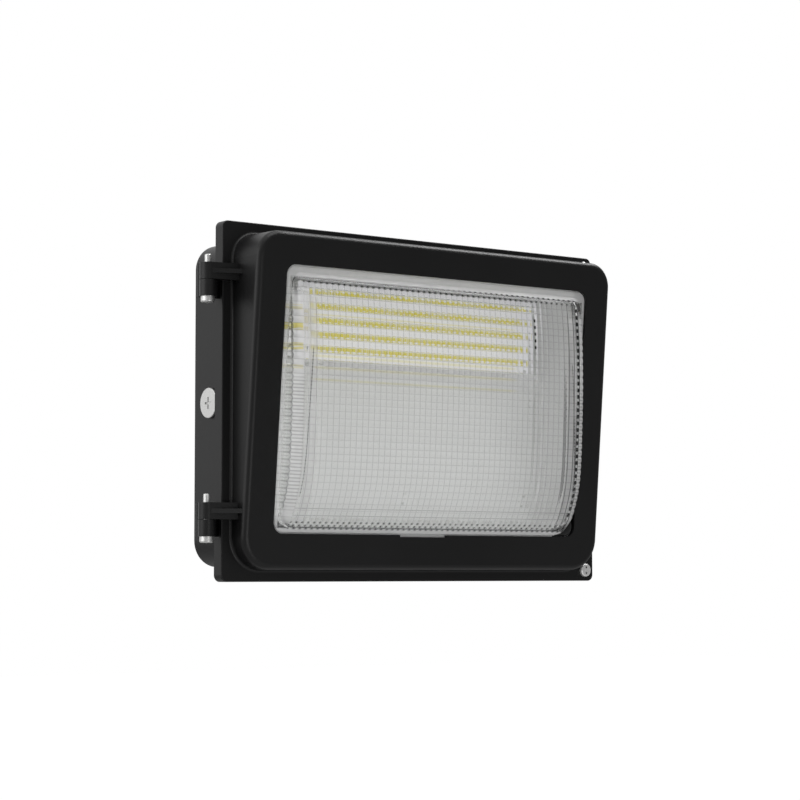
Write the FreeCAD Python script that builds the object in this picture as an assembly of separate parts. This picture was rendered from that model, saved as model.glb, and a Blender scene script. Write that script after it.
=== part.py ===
import FreeCAD, Part
import math
import os
from FreeCAD import Vector

# Wall pack light, in millimetres. X to the right, Y into the wall, Z up.
# The wall is the plane Y = 0 and the origin is the centre of the four wall bolts.

# ---------------------------------------------------------------- size of the whole
door_width = 360.0
door_height = 267.0
box_inset = 11.0             # door edge to the outer face of the housing's walls
box_depth = 47.0             # wall to the back edge of the door

# ---------------------------------------------------------------- housing
box_corner_r = 20.0
box_wall = 3.0
box_floor = 3.5
box_back_edge_r = 1.5
wall_bolt_x = 125.0
wall_bolt_z = 80.0
wall_bolt_hole_r = 3.25
wall_boss_r = 8.0
wall_boss_h = 3.0
jbox_screw_spacing = 88.9
jbox_hole_r = 2.6
wire_entry_r = 11.0
wire_entry_rim = 5.0
seal_recess_inner_r = 17.0
seal_recess_outer_r = 29.0
seal_recess_depth = 2.0
post_inset_x = 19.0          # post axis inside the housing's side face
post_inset_z = 24.5          # and inside its top or bottom face
post_r = 5.0
post_screw_r = 1.6
post_thread = 8.0
post_tip_gap = 1.0           # end of the screw to the end of the thread
ground_x = 118.0
ground_z = -52.0

# ---------------------------------------------------------------- conduit entries
hub_r = 14.5
hub_length = 10.0
hub_bore_r = 10.5
plug_shank_r = 10.3
plug_shank_length = 9.0
plug_head_r = 11.4
plug_head_t = 1.6
plug_recess_arm = 9.0
plug_recess_w = 1.8
plug_recess_d = 0.9
plug_seal_t = 0.7
plug_seal_r = 11.0

# ---------------------------------------------------------------- door
door_edge = 10.0             # depth of the door's rim
door_corner_r = 5.0
door_plate_t = 3.5
door_rim_t = 2.5
door_edge_r = 0.8
bezel_margin = 8.6           # door edge to the foot of the raised bezel
bezel_depth = 25.35          # how far the bezel stands out at mid height
bezel_tilt = 5.2             # degrees, the top stands further out
bezel_draft = 1.5            # degrees
bezel_top_r = 20.0
bezel_bottom_r = 25.0
bezel_wall = 3.0
bezel_front_r = 4.5
bezel_foot_r = 2.0
window_side = 34.6           # door edge to the window's side edges
window_end = 34.1            # and to its top and bottom edges, before the rise
window_rise = 0.9            # window centre above mid height
window_r = 8.0
notch_centre = -6.8
notch_width = 45.0
notch_depth = 1.6

# ---------------------------------------------------------------- glass and what holds it
glass_gap = 1.0              # round the rim of the glass in the window
glass_t = 4.0
glass_rim_back = 0.8         # the rim lies this far behind the bezel's front plane
glass_lip = 8.0
glass_lip_r = 14.0
glass_gasket_t = 1.0
glass_bulge_side = 3.4       # rim's side edges to the bulge
glass_bulge_top = 4.0
glass_bulge_low = 1.0
glass_top_corner_r = 9.0
glass_low_corner_r = 16.0
glass_shoulder_r = 8.0
# share of the bulge's height from its top, and how far the glass stands out of the bezel's plane there
glass_profile = [
    (0.0, 1.5), (0.132, 6.7), (0.262, 10.0), (0.3925, 12.2), (0.549, 13.8),
    (0.7055, 14.6), (0.81, 13.4), (0.888, 9.8), (0.9555, 4.4), (1.0, -1.2),
]
clip_reach = 5.0
clip_width = 12.0
clip_t = 1.2
clip_boss_r = 4.5
clip_boss_out = 6.6          # boss axis outside the edge of the glass
clip_along = 92.0
clip_screw_r = 1.6
clip_head_r = 3.4
clip_head_t = 2.2
clip_tip_gap = 0.5

# ---------------------------------------------------------------- door seal
seal_squeezed = 2.5
seal_width = 7.0

# ---------------------------------------------------------------- hinges
hinge_end = 45.5             # each hinge's split to the door's top or bottom edge
hinge_out = 12.6             # pin axis outside the door's left edge
knuckle_r = 6.3
knuckle_h = 12.4
knuckle_gap = 0.3
hinge_clearance = 0.06
pin_r = 2.5
pin_head_r = 5.2
pin_head_h = 4.6
pin_tip = 6.3
pin_socket_r = 1.9
pin_socket_d = 2.2
arm_end_depth = 9.0
arm_rib_depth = 14.5
arm_rib_h = 3.4
lug_t = 3.4
lug_gap = 1.0
lug_reach = 3.4
lug_gusset_t = 5.0
lug_gusset_run = 20.0
lug_notch_gap = 1.2

# ---------------------------------------------------------------- captive door screws
latch_side = 9.1             # screw axis from the door's right edge
latch_end = 8.7              # and from its top or bottom edge
latch_head_r = 5.2
latch_head_h = 2.6
latch_shank_r = 2.1
latch_hole_r = 2.55
latch_travel = 4.0
latch_ear_r = 5.5
latch_ear_out = 1.0          # the ear's face in front of the door's back edge
latch_ear_t = 10.0
latch_hole_depth = 8.5
latch_washer_r = 4.4
latch_washer_t = 1.0
latch_washer_gap = 0.3
spanner_hole_r = 0.9
spanner_hole_gap = 4.6
spanner_hole_d = 1.4

# ---------------------------------------------------------------- gear plate, heat sink and lamps
plate_t = 1.2
plate_side = 11.0            # housing's side face to the plate's edge
plate_end = 16.5             # housing's top or bottom face to the plate's edge
plate_corner_r = 6.0
plate_sink = 4.0             # the plate's rear face behind the door's back edge
screw_head_r = 4.0
screw_head_t = 2.4
recess_length = 1.1          # cross recess of a screw, as a share of its head's radius
recess_width = 0.2
board_width = 232.0
board_height = 60.0
board_t = 1.6
board_corner_r = 2.0
board_tilt = 7.0             # degrees, the lower edge lies further back
board_stand_off = 17.0       # middle of its face in front of the plate's rear face
board_drop = 36.8            # its middle below the window's top edge
chip_width = 5.6
chip_height = 3.0
chip_t = 0.8
chip_rows = 5
chip_columns = 34
chip_side = 13.8             # board's side edge to the middle of the first column
chip_end = 8.0               # board's top or bottom edge to the middle of the first row
sink_t = 3.0
sink_edge = 1.0              # beyond the board's top and bottom edge
sink_leg_t = 3.0
sink_leg_count = 4
sink_foot_t = 2.5
sink_screw_in = 12.0         # from the side edge
sink_screw_drop = 6.0        # from the top edge
sink_screw_rise = 8.0        # from the bottom edge
sink_screw_grip = 3.75
board_screw_side = 4.0
board_screw_end = 6.0
board_screw_r = 1.5
board_head_r = 2.7
board_head_t = 1.6

# ---------------------------------------------------------------- reflector
pan_t = 1.0
pan_back_side = 18.0         # its back edge beside the board
pan_back_top = 4.54          # and above the heat sink
pan_back_low = 9.5           # and above the window's bottom edge
pan_front_side = 1.4         # its front edge inside the window's side edges
pan_front_end = 0.9          # and inside its top and bottom edges
pan_corner_r = 12.0
pan_stand_off = 1.5          # behind the back of the glass
pan_gap = 0.5                # round the heat sink
pan_screw_side = 12.0        # screw axis inside the back's side edge
pan_screw_low = 19.0         # and above its bottom edge
pan_screw_grip = 2.0

# ---------------------------------------------------------------- driver and wiring
driver_length = 144.0
driver_height = 50.0
driver_depth = 28.0
driver_x = -20.0
driver_end = 11.5            # above the housing's bottom face
driver_edge_r = 3.0
driver_cap_t = 3.0
driver_tab = 10.0
driver_tab_t = 1.6
supply_lead_r = 1.3
lamp_lead_r = 1.0
lead_spacing = 9.0
lead_bend_r = 14.0
lead_bend_step = 2.0
lamp_lead_spacing = 5.0
lamp_lead_bend_r = 4.0
nut_r = 4.0
nut_tip_r = 2.8
nut_length = 17.0
nut_spacing = 10.8
nut_x = 92.0
nut_z = -24.0
grommet_out = 8.0            # beside the board
grommet_r = 6.5
grommet_flange = 1.6
grommet_rim = 1.2
socket_width = 9.0
socket_height = 11.0
socket_depth = 4.0

# ---------------------------------------------------------------- worked out from the sizes above
box_width = door_width - 2 * box_inset
box_height = door_height - 2 * box_inset
post_x = box_width / 2 - post_inset_x
post_z = box_height / 2 - post_inset_z
hinge_z = door_height / 2 - hinge_end
latch_ear_front = box_depth + latch_ear_out
door_back = -box_depth
door_front = door_back - door_edge
plate_back = door_front + door_plate_t
rim_y = plate_back + seal_squeezed
window_y = door_front - bezel_depth
pin_x = -door_width / 2 - hinge_out
pin_y = door_front
latch_x = door_width / 2 - latch_side
latch_z = door_height / 2 - latch_end
window_width = door_width - 2 * window_side
window_height = door_height - 2 * window_end
window_top = window_rise + window_height / 2
window_low = window_rise - window_height / 2
glass_bulge_width = window_width - 2 * (glass_gap + glass_bulge_side)
glass_high = window_top - glass_gap - glass_bulge_top
glass_low = window_low + glass_gap + glass_bulge_low
lip_front = bezel_wall + glass_gasket_t
lip_back = lip_front + glass_t
lip_width = window_width + 2 * glass_lip
lip_height = window_height + 2 * glass_lip
plate_width = box_width - 2 * plate_side
plate_height = box_height - 2 * plate_end
plate_y = -(box_depth - plate_sink)
board_y = plate_y - board_stand_off
board_z = window_top - board_drop
board_screw_x = board_width / 2 - board_screw_side
board_screw_z = board_height / 2 - board_screw_end
chip_column_pitch = (board_width - 2 * chip_side) / (chip_columns - 1)
chip_row_pitch = (board_height - 2 * chip_end) / (chip_rows - 1)
grommet_x = -(board_width / 2 + grommet_out)
driver_z = driver_end + driver_height / 2 - box_height / 2
hub_y = -box_depth / 2
X_AXIS = Vector(1, 0, 0)
Y_AXIS = Vector(0, 1, 0)
Z_AXIS = Vector(0, 0, 1)
BIG = 600.0


def outline(half_width, z_low, z_high, y, r_low, r_high):
    """A rectangle with round corners, flat at one Y."""
    s = math.sqrt(0.5)

    def arc(cx, cz, r, a0, am, a1):
        points = [Vector(cx + r * math.cos(a), y, cz + r * math.sin(a)) for a in (a0, am, a1)]
        return Part.Arc(*points).toShape()

    q = math.pi / 2
    w = half_width
    edges = []
    corners = [
        (w - r_low, z_low + r_low, r_low, -q),
        (w - r_high, z_high - r_high, r_high, 0.0),
        (-w + r_high, z_high - r_high, r_high, q),
        (-w + r_low, z_low + r_low, r_low, 2 * q),
    ]
    ends = []
    for cx, cz, r, start in corners:
        edges.append(arc(cx, cz, r, start, start + q / 2, start + q))
        first = Vector(cx + r * math.cos(start), y, cz + r * math.sin(start))
        last = Vector(cx + r * math.cos(start + q), y, cz + r * math.sin(start + q))
        ends.append((first, last))
    path = []
    for i, edge in enumerate(edges):
        path.append(edge)
        path.append(Part.LineSegment(ends[i][1], ends[(i + 1) % 4][0]).toShape())
    return Part.Wire(path)


def slab(half_width, z_low, z_high, y0, y1, r_low, r_high=None):
    """A plate with round corners between two depths."""
    wire = outline(half_width, z_low, z_high, y0, r_low, r_low if r_high is None else r_high)
    return Part.Face(wire).extrude(Vector(0, y1 - y0, 0))


def box(x0, x1, y0, y1, z0, z1):
    """A block between three pairs of limits."""
    return Part.makeBox(x1 - x0, y1 - y0, z1 - z0, Vector(x0, y0, z0))


def rod(r, start, direction, length):
    """A round bar from a point along a direction."""
    return Part.makeCylinder(r, length, start, direction)


def ring(r_out, r_in, start, direction, length):
    """A washer or tube."""
    return rod(r_out, start, direction, length).cut(rod(r_in, start, direction, length))


def group(shapes):
    """Separate solids kept together under one name."""
    return Part.makeCompound(shapes)


def one(shape):
    """The single solid of a shape that has been cut or joined."""
    clean = shape.removeSplitter()
    return clean.Solids[0] if len(clean.Solids) == 1 else clean


def along_x(points, x0, x1):
    """A prism whose section is a closed outline of (y, z) points."""
    corners = [Vector(x0, y, z) for y, z in points]
    face = Part.Face(Part.makePolygon(corners + corners[:1]))
    return face.extrude(Vector(x1 - x0, 0, 0))


def along_z(points, z0, z1):
    """A prism whose section is a closed outline of (x, y) points."""
    corners = [Vector(x, y, z0) for x, y in points]
    face = Part.Face(Part.makePolygon(corners + corners[:1]))
    return face.extrude(Vector(0, 0, z1 - z0))


def on_bezel(shape):
    """Moves a shape made round the origin onto the tilted front of the bezel."""
    moved = shape.copy()
    moved.rotate(Vector(0, 0, 0), X_AXIS, bezel_tilt)
    moved.translate(Vector(0, window_y, 0))
    return moved


def on_board(shape):
    """Moves a shape made round the origin onto the tilted face of the heat sink."""
    moved = shape.copy()
    moved.rotate(Vector(0, 0, 0), X_AXIS, board_tilt)
    moved.translate(Vector(0, board_y, board_z))
    return moved


def fillet_where(shape, radius, wanted):
    """Rounds each edge that a test on its middle point picks."""
    edges = []
    for edge in shape.Edges:
        middle = edge.valueAt((edge.FirstParameter + edge.LastParameter) / 2)
        if wanted(middle, edge):
            edges.append(edge)
    return shape.makeFillet(radius, edges)


def tube_path(points, radius, bend):
    """A round lead along straight runs joined by tangent arcs."""
    edges = []
    here = points[0]
    for i in range(1, len(points) - 1):
        before = (points[i] - points[i - 1]).normalize()
        after = (points[i + 1] - points[i]).normalize()
        half_turn = before.getAngle(after) / 2
        back = bend * math.tan(half_turn)
        start = points[i] - before * back
        end = points[i] + after * back
        inward = (after - before).normalize()
        centre = points[i] + inward * (bend / math.cos(half_turn))
        middle = centre - inward * bend
        edges.append(Part.LineSegment(here, start).toShape())
        edges.append(Part.Arc(start, middle, end).toShape())
        here = end
    edges.append(Part.LineSegment(here, points[-1]).toShape())
    first = (points[1] - points[0]).normalize()
    circle = Part.Wire(Part.makeCircle(radius, points[0], first))
    return Part.Wire(edges).makePipeShell([circle], True, True)


# ---------------------------------------------------------------- rear housing
def lug(split):
    """The ear on the housing that carries one hinge: a plate, its gusset and the lower knuckle."""
    z0 = split - knuckle_h
    z1 = split + knuckle_h
    y0 = pin_y + knuckle_r + lug_gap
    y1 = y0 + lug_t
    x0 = pin_x - lug_reach
    x1 = -box_width / 2 + box_wall
    plate = box(x0 + lug_t / 2, x1, y0, y1, z0, z1)
    nose = rod(lug_t / 2, Vector(x0 + lug_t / 2, y0 + lug_t / 2, z0), Z_AXIS, z1 - z0)
    knuckle = rod(knuckle_r, Vector(pin_x, pin_y, z0), Z_AXIS, knuckle_h - knuckle_gap / 2)
    web = box(pin_x - knuckle_r / 2, pin_x + knuckle_r, pin_y, y0, z0, split - knuckle_gap / 2)
    gusset = along_z(
        [(pin_x, y1 - lug_t / 2), (x1, y1 - lug_t / 2), (x1, y1 + lug_gusset_run)],
        split - lug_gusset_t / 2,
        split + lug_gusset_t / 2,
    )
    body = plate.fuse([nose, knuckle, web, gusset])
    bore = rod(pin_r + hinge_clearance, Vector(pin_x, pin_y, z0), Z_AXIS, 2 * knuckle_h)
    return body.cut(bore)


def latch_ear(side):
    """The threaded ear at a right-hand corner, joined to the housing's round corner."""
    back = -latch_ear_front + latch_ear_t
    centre = Vector(latch_x, -latch_ear_front, side * latch_z)
    boss = rod(latch_ear_r, centre, Y_AXIS, latch_ear_t)
    corner_x = box_width / 2 - box_corner_r
    corner_z = box_height / 2 - box_corner_r
    run = math.hypot(latch_x - corner_x, latch_z - corner_z)
    angle = math.degrees(math.atan2(latch_z - corner_z, latch_x - corner_x))
    web = box(0, run, -latch_ear_front, back, -latch_ear_r, latch_ear_r)
    web.rotate(Vector(0, 0, 0), Y_AXIS, -side * angle)
    web.translate(Vector(corner_x, 0, side * corner_z))
    return boss.fuse(web)


def conduit_sides():
    """Each conduit entry's point on the housing's outer face and its outward direction."""
    return [
        (Vector(-box_width / 2, hub_y, 0), Vector(-1, 0, 0)),
        (Vector(box_width / 2, hub_y, 0), Vector(1, 0, 0)),
        (Vector(0, hub_y, box_height / 2), Vector(0, 0, 1)),
    ]


def four(x, z):
    """The four points of a rectangle about the centre."""
    return [(i * x, j * z) for i in (-1, 1) for j in (-1, 1)]


def rear_housing():
    """The cast box that is bolted to the wall."""
    half_w = box_width / 2
    half_h = box_height / 2
    outer = slab(half_w, -half_h, half_h, 0, rim_y, box_corner_r)
    outer = fillet_where(outer, box_back_edge_r, lambda p, e: abs(p.y) < 0.01)
    ears = [latch_ear(side) for side in (-1, 1)]
    body = outer.fuse(ears)
    inner = slab(half_w - box_wall, box_wall - half_h, half_h - box_wall,
                 -box_floor, rim_y - 1, box_corner_r - box_wall)
    body = body.cut(inner)
    floor = Vector(0, -box_floor, 0)
    adds = [lug(side * hinge_z) for side in (-1, 1)]
    for x, z in four(wall_bolt_x, wall_bolt_z):
        adds.append(rod(wall_boss_r, Vector(x, -box_floor / 2, z), -Y_AXIS, box_floor / 2 + wall_boss_h))
    for x, z in four(post_x, post_z):
        adds.append(rod(post_r, Vector(x, -box_floor / 2, z), -Y_AXIS, -plate_y - box_floor / 2))
    adds.append(rod(wire_entry_r + wire_entry_rim, floor + Y_AXIS, -Y_AXIS, wall_boss_h + 1))
    for x in (-jbox_screw_spacing / 2, jbox_screw_spacing / 2):
        adds.append(rod(wall_boss_r, Vector(x, -box_floor / 2, 0), -Y_AXIS, box_floor / 2 + wall_boss_h))
    adds.append(rod(post_r, Vector(ground_x, -box_floor / 2, ground_z), -Y_AXIS, box_floor / 2 + wall_boss_h))
    for end in (-1, 1):
        adds.append(rod(post_r, driver_screw_point(end, box_floor / 2), -Y_AXIS, box_floor / 2))
    for point, outward in conduit_sides():
        adds.append(rod(hub_r, point - outward * (box_wall / 2), -outward, hub_length - box_wall / 2))
    body = body.fuse(adds)
    cuts = []
    through = box_floor + wall_boss_h + 2
    for x, z in four(wall_bolt_x, wall_bolt_z):
        cuts.append(rod(wall_bolt_hole_r, Vector(x, 1, z), -Y_AXIS, through))
    for x in (-jbox_screw_spacing / 2, jbox_screw_spacing / 2):
        cuts.append(rod(jbox_hole_r, Vector(x, 1, 0), -Y_AXIS, through))
    cuts.append(rod(wire_entry_r, Vector(0, 1, 0), -Y_AXIS, through))
    cuts.append(ring(seal_recess_outer_r, seal_recess_inner_r, Vector(0, 0, 0), -Y_AXIS, seal_recess_depth))
    for x, z in four(post_x, post_z):
        cuts.append(rod(post_screw_r, Vector(x, plate_y, z), Y_AXIS, post_thread))
    ground_face = -box_floor - wall_boss_h
    cuts.append(rod(board_screw_r, Vector(ground_x, ground_face, ground_z), Y_AXIS, wall_boss_h))
    for end in (-1, 1):
        cuts.append(rod(board_screw_r, driver_screw_point(end, box_floor), Y_AXIS, box_floor / 2))
    for point, outward in conduit_sides():
        cuts.append(rod(hub_bore_r, point + outward, -outward, hub_length + 2))
    for side in (-1, 1):
        start = Vector(latch_x, -latch_ear_front, side * latch_z)
        cuts.append(rod(latch_hole_r, start, Y_AXIS, latch_hole_depth))
    return one(body.cut(cuts))


def wall_seal():
    """Foam ring between the housing and the wall box, flush with the wall plane."""
    return ring(seal_recess_outer_r, seal_recess_inner_r, Vector(0, 0, 0), -Y_AXIS, seal_recess_depth)


# ---------------------------------------------------------------- conduit plugs
def conduit_plug(point, outward):
    """A screwed plug with a cross recess in its flat head."""
    face = point + outward * plug_seal_t
    head = rod(plug_head_r, face, outward, plug_head_t)
    head = fillet_where(head, plug_head_t / 3, lambda p, e: (p - face).dot(outward) > plug_head_t / 2)
    shank = rod(plug_shank_r, face, -outward, plug_shank_length + plug_seal_t)
    top = face + outward * plug_head_t
    side = outward.cross(Y_AXIS)
    arms = []
    for way, other in ((side, Y_AXIS), (Y_AXIS, side)):
        corner = top - way * (plug_recess_arm / 2) - other * (plug_recess_w / 2) - outward * plug_recess_d
        points = [
            corner,
            corner + way * plug_recess_arm,
            corner + way * plug_recess_arm + other * plug_recess_w,
            corner + other * plug_recess_w,
            corner,
        ]
        arms.append(Part.Face(Part.makePolygon(points)).extrude(outward * (plug_recess_d + 1)))
    return one(head.fuse(shank).cut(arms))


def conduit_plugs():
    """One plug in each conduit entry."""
    return group([conduit_plug(point, outward) for point, outward in conduit_sides()])


def plug_seals():
    """Flat rubber rings under the plugs' heads."""
    return group([
        ring(plug_seal_r, plug_shank_r, point, outward, plug_seal_t) for point, outward in conduit_sides()
    ])


# ---------------------------------------------------------------- hinge pins
def hinge_pin(split):
    """A headed pin put in from below, with a rounded tip that stands out on top."""
    foot = split - knuckle_h
    length = 2 * knuckle_h + pin_tip
    shank = rod(pin_r, Vector(pin_x, pin_y, foot), Z_AXIS, length)
    shank = fillet_where(shank, pin_r / 3, lambda p, e: p.z > foot + length - 0.01)
    head = rod(pin_head_r, Vector(pin_x, pin_y, foot), -Z_AXIS, pin_head_h)
    head = fillet_where(head, pin_head_h / 4, lambda p, e: p.z < foot - pin_head_h + 0.01)
    sides = [
        Vector(pin_x + pin_socket_r * math.cos(k * math.pi / 3),
               pin_y + pin_socket_r * math.sin(k * math.pi / 3), foot - pin_head_h)
        for k in range(7)
    ]
    socket = Part.Face(Part.makePolygon(sides)).extrude(Vector(0, 0, pin_socket_d))
    return one(shank.fuse(head).cut(socket))


def hinge_pins():
    """The upper and lower hinge pins."""
    return group([hinge_pin(side * hinge_z) for side in (-1, 1)])


# ---------------------------------------------------------------- door
def bezel_outline(y, inset):
    """The raised bezel's outline at a depth, drawn in by the draft and by a wall."""
    drawn_in = bezel_margin + (door_front - y) * math.tan(math.radians(bezel_draft)) + inset
    shrink = drawn_in - bezel_margin
    half_h = door_height / 2 - drawn_in
    return outline(door_width / 2 - drawn_in, -half_h, half_h, y,
                   bezel_bottom_r - shrink, bezel_top_r - shrink)


def bezel_block(inset, front_wall, y_back):
    """A drafted block under the bezel's tilted front plane."""
    y_far = door_front - 2 * bezel_depth - door_edge
    block = Part.makeLoft([bezel_outline(y_back, inset), bezel_outline(y_far, inset)], True, True)
    beyond = on_bezel(box(-BIG / 2, BIG / 2, -BIG / 2, front_wall, -BIG / 2, BIG / 2))
    return block.cut(beyond)


def front_gap(p):
    """How far a point lies behind the bezel's tilted front plane."""
    t = math.radians(bezel_tilt)
    return (p.y - window_y) * math.cos(t) + p.z * math.sin(t)


def hinge_arm(split):
    """The door's arm on one hinge: a bar with a middle rib, ending in the upper knuckle."""
    z0 = split + knuckle_gap / 2
    z1 = split + knuckle_h
    x_end = -door_width / 2 + bezel_margin + bezel_wall / 2
    bar = along_z(
        [(pin_x, pin_y), (pin_x, pin_y - knuckle_r), (x_end, door_front - arm_end_depth),
         (x_end, door_front + door_plate_t / 2), (-door_width / 2 + door_edge_r, door_front + door_plate_t / 2),
         (-door_width / 2 + door_edge_r, pin_y)],
        z0, z1)
    middle = (z0 + z1) / 2
    rib = along_z(
        [(pin_x, pin_y), (pin_x, pin_y - knuckle_r), (x_end, door_front - arm_rib_depth), (x_end, pin_y)],
        middle - arm_rib_h / 2, middle + arm_rib_h / 2)
    knuckle = rod(knuckle_r, Vector(pin_x, pin_y, z0), Z_AXIS, z1 - z0)
    bore = rod(pin_r + hinge_clearance, Vector(pin_x, pin_y, z0), Z_AXIS, z1 - z0)
    return bar.fuse([rib, knuckle]).cut(bore)


def clip_points():
    """Each glass clip's boss on the bezel, as x, z and the direction to the glass."""
    side = lip_width / 2 + clip_boss_out
    end = lip_height / 2 + clip_boss_out
    points = [(i * side, window_rise, -i, 0) for i in (-1, 1)]
    points += [(i * clip_along, window_rise + j * end, 0, -j) for i in (-1, 1) for j in (-1, 1)]
    return points


def door_frame():
    """The cast door: rim, plate, raised bezel with its window, hinge arms and clip bosses."""
    half_w = door_width / 2
    half_h = door_height / 2
    rim = slab(half_w, -half_h, half_h, door_front, door_back, door_corner_r)
    rim = fillet_where(rim, door_edge_r, lambda p, e: abs(p.y - door_front) < 0.01)
    hollow = slab(half_w - door_rim_t, door_rim_t - half_h, half_h - door_rim_t,
                  plate_back, door_back + 1, door_corner_r - door_rim_t)
    bezel = bezel_block(0, 0, door_front + door_plate_t / 2)
    bezel = fillet_where(bezel, bezel_front_r, lambda p, e: abs(front_gap(p)) < 0.01)
    body = rim.cut(hollow).fuse(bezel)
    foot = [
        e for e in body.Edges
        if abs(e.BoundBox.YMin - door_front) < 0.01 and abs(e.BoundBox.YMax - door_front) < 0.01
        and abs(e.BoundBox.XMin) < half_w - bezel_margin / 2 and abs(e.BoundBox.XMax) < half_w - bezel_margin / 2
        and abs(e.BoundBox.ZMin) < half_h - bezel_margin / 2 and abs(e.BoundBox.ZMax) < half_h - bezel_margin / 2
    ]
    body = body.makeFillet(bezel_foot_r, foot)
    body = body.cut(bezel_block(bezel_wall, bezel_wall, door_back + 1))
    window = slab(window_width / 2, window_low, window_top, -bezel_wall, 2 * bezel_wall, window_r)
    notch = box(notch_centre - notch_width / 2, notch_centre + notch_width / 2, -bezel_wall, 2 * bezel_wall,
                window_low - notch_depth, window_rise)
    body = body.cut(on_bezel(window.fuse(notch)))
    adds = [hinge_arm(side * hinge_z) for side in (-1, 1)]
    for x, z, _, _ in clip_points():
        boss = rod(clip_boss_r, Vector(x, bezel_wall / 2, z), Y_AXIS, lip_back - bezel_wall / 2)
        adds.append(on_bezel(boss))
    body = body.fuse(adds)
    cuts = []
    for x, z, _, _ in clip_points():
        cuts.append(on_bezel(rod(clip_screw_r, Vector(x, bezel_wall, z), Y_AXIS, lip_back)))
    for side in (-1, 1):
        split = side * hinge_z
        gap = lug_notch_gap
        cuts.append(box(-half_w - 1, -half_w + door_rim_t + gap, plate_back, door_back + 1,
                        split - knuckle_h - gap, split + knuckle_h + gap))
        start = Vector(latch_x, door_front - 1, side * latch_z)
        cuts.append(rod(latch_hole_r, start, Y_AXIS, door_plate_t + 2))
    return one(body.cut(cuts))


def door_seal():
    """The silicone ring in the door that the housing's rim presses on."""
    half_w = box_width / 2 + (seal_width - box_wall) / 2
    half_h = box_height / 2 + (seal_width - box_wall) / 2
    r = box_corner_r + (seal_width - box_wall) / 2
    outer = slab(half_w, -half_h, half_h, plate_back, rim_y, r)
    inner = slab(half_w - seal_width, seal_width - half_h, half_h - seal_width,
                 plate_back - 1, rim_y + 1, r - seal_width)
    ring_shape = outer.cut(inner)
    return one(ring_shape.cut(bezel_block(bezel_wall, bezel_wall, door_back + 1)))


# ---------------------------------------------------------------- glass
def glass_front(inset):
    """What lies in front of the glass, or in front of its hollow, as one long prism."""
    curve = Part.BSplineCurve()
    points = [Vector(0, inset - proud, glass_high + (glass_low - glass_high) * share)
              for share, proud in glass_profile]
    curve.interpolate(points)
    top = points[0]
    low = points[-1]
    corners = [low, Vector(0, low.y, -BIG), Vector(0, -BIG, -BIG), Vector(0, -BIG, BIG), Vector(0, top.y, BIG), top]
    edges = [curve.toShape()] + [Part.LineSegment(p, q).toShape() for p, q in zip(corners, corners[1:])]
    away = Part.Face(Part.Wire(edges)).extrude(Vector(BIG, 0, 0))
    away.translate(Vector(-BIG / 2, 0, 0))
    return away


def glass_bulge(inset, deep):
    """The part of the glass that stands out through the window, drawn in by a wall."""
    half_w = glass_bulge_width / 2 - inset
    low = glass_low + inset
    high = glass_high - inset
    block = slab(half_w, low, high, -BIG / 2, deep, glass_low_corner_r - inset, glass_top_corner_r - inset)
    bulge = block.cut(glass_front(inset)).removeSplitter()

    def on_front(p, e):
        wide = e.BoundBox.XLength > 1
        steep = e.BoundBox.ZLength > 1
        across = wide and not steep and abs(p.z - high) < 0.01
        return p.y < lip_front and (across or steep)

    return fillet_where(bulge, glass_shoulder_r - inset, on_front)


def glass_refractor():
    """The moulded glass: a lip behind the window, a flat rim inside it and a bulge standing out of it."""
    rim = slab(window_width / 2 - glass_gap, window_low + glass_gap, window_top - glass_gap,
               glass_rim_back, lip_back, window_r - glass_gap)
    lip = slab(lip_width / 2, window_low - glass_lip, window_top + glass_lip, lip_front, lip_back, glass_lip_r)
    outer = glass_bulge(0, lip_back).fuse([rim, lip])
    return on_bezel(one(outer.cut(glass_bulge(glass_t, lip_back + 1))))


def glass_gasket():
    """The flat silicone ring between the bezel and the lip of the glass."""
    outer = slab(lip_width / 2, window_low - glass_lip, window_top + glass_lip, bezel_wall, lip_front, glass_lip_r)
    inner = slab(window_width / 2, window_low, window_top, 0, lip_back, window_r)
    return on_bezel(outer.cut(inner))


def glass_clips():
    """Spring steel clips that hold the lip of the glass against its gasket."""
    clips = []
    reach = clip_boss_out + clip_reach
    for x, z, dx, dz in clip_points():
        x1 = x + dx * reach
        z1 = z + dz * reach
        half = clip_width / 2
        wide_x = 0 if dx else half
        wide_z = 0 if dz else half
        back_x = -dx * clip_boss_r
        back_z = -dz * clip_boss_r
        xs = sorted((x + back_x - wide_x, x1 + wide_x))
        zs = sorted((z + back_z - wide_z, z1 + wide_z))
        strip = box(xs[0], xs[1], lip_back, lip_back + clip_t, zs[0], zs[1])
        hole = rod(clip_screw_r, Vector(x, lip_back - 1, z), Y_AXIS, clip_t + 2)
        clips.append(on_bezel(strip.cut(hole)))
    return group(clips)


def pan_head_screw(point, way, shank_r, head_r, head_t, length):
    """A small screw: its head's underside at the point, its shank along the way."""
    head = rod(head_r, point, -way, head_t)
    tip = point - way * head_t
    head = fillet_where(head, head_t / 3, lambda p, e: abs((p - tip).dot(way)) < 0.01)
    shank = rod(shank_r, point, way, length)
    side = Z_AXIS if abs(way.z) < 0.9 else X_AXIS
    cross = way.cross(side)
    slot = head_t / 2
    arms = []
    for a, b in ((side, cross), (cross, side)):
        along = a * (head_r * recess_length)
        across = b * (head_r * recess_width)
        corner = tip - (along + across) * 0.5
        points = [corner, corner + along, corner + along + across, corner + across, corner]
        arms.append(Part.Face(Part.makePolygon(points)).extrude(way * slot))
    return one(head.fuse(shank).cut(arms))


def clip_screws():
    """The screws that hold the clips to the bezel's bosses."""
    screws = []
    length = lip_back + clip_t - bezel_wall - clip_tip_gap
    for x, z, _, _ in clip_points():
        screw = pan_head_screw(Vector(x, lip_back + clip_t, z), -Y_AXIS, clip_screw_r,
                               clip_head_r, clip_head_t, length)
        screws.append(on_bezel(screw))
    return group(screws)


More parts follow.
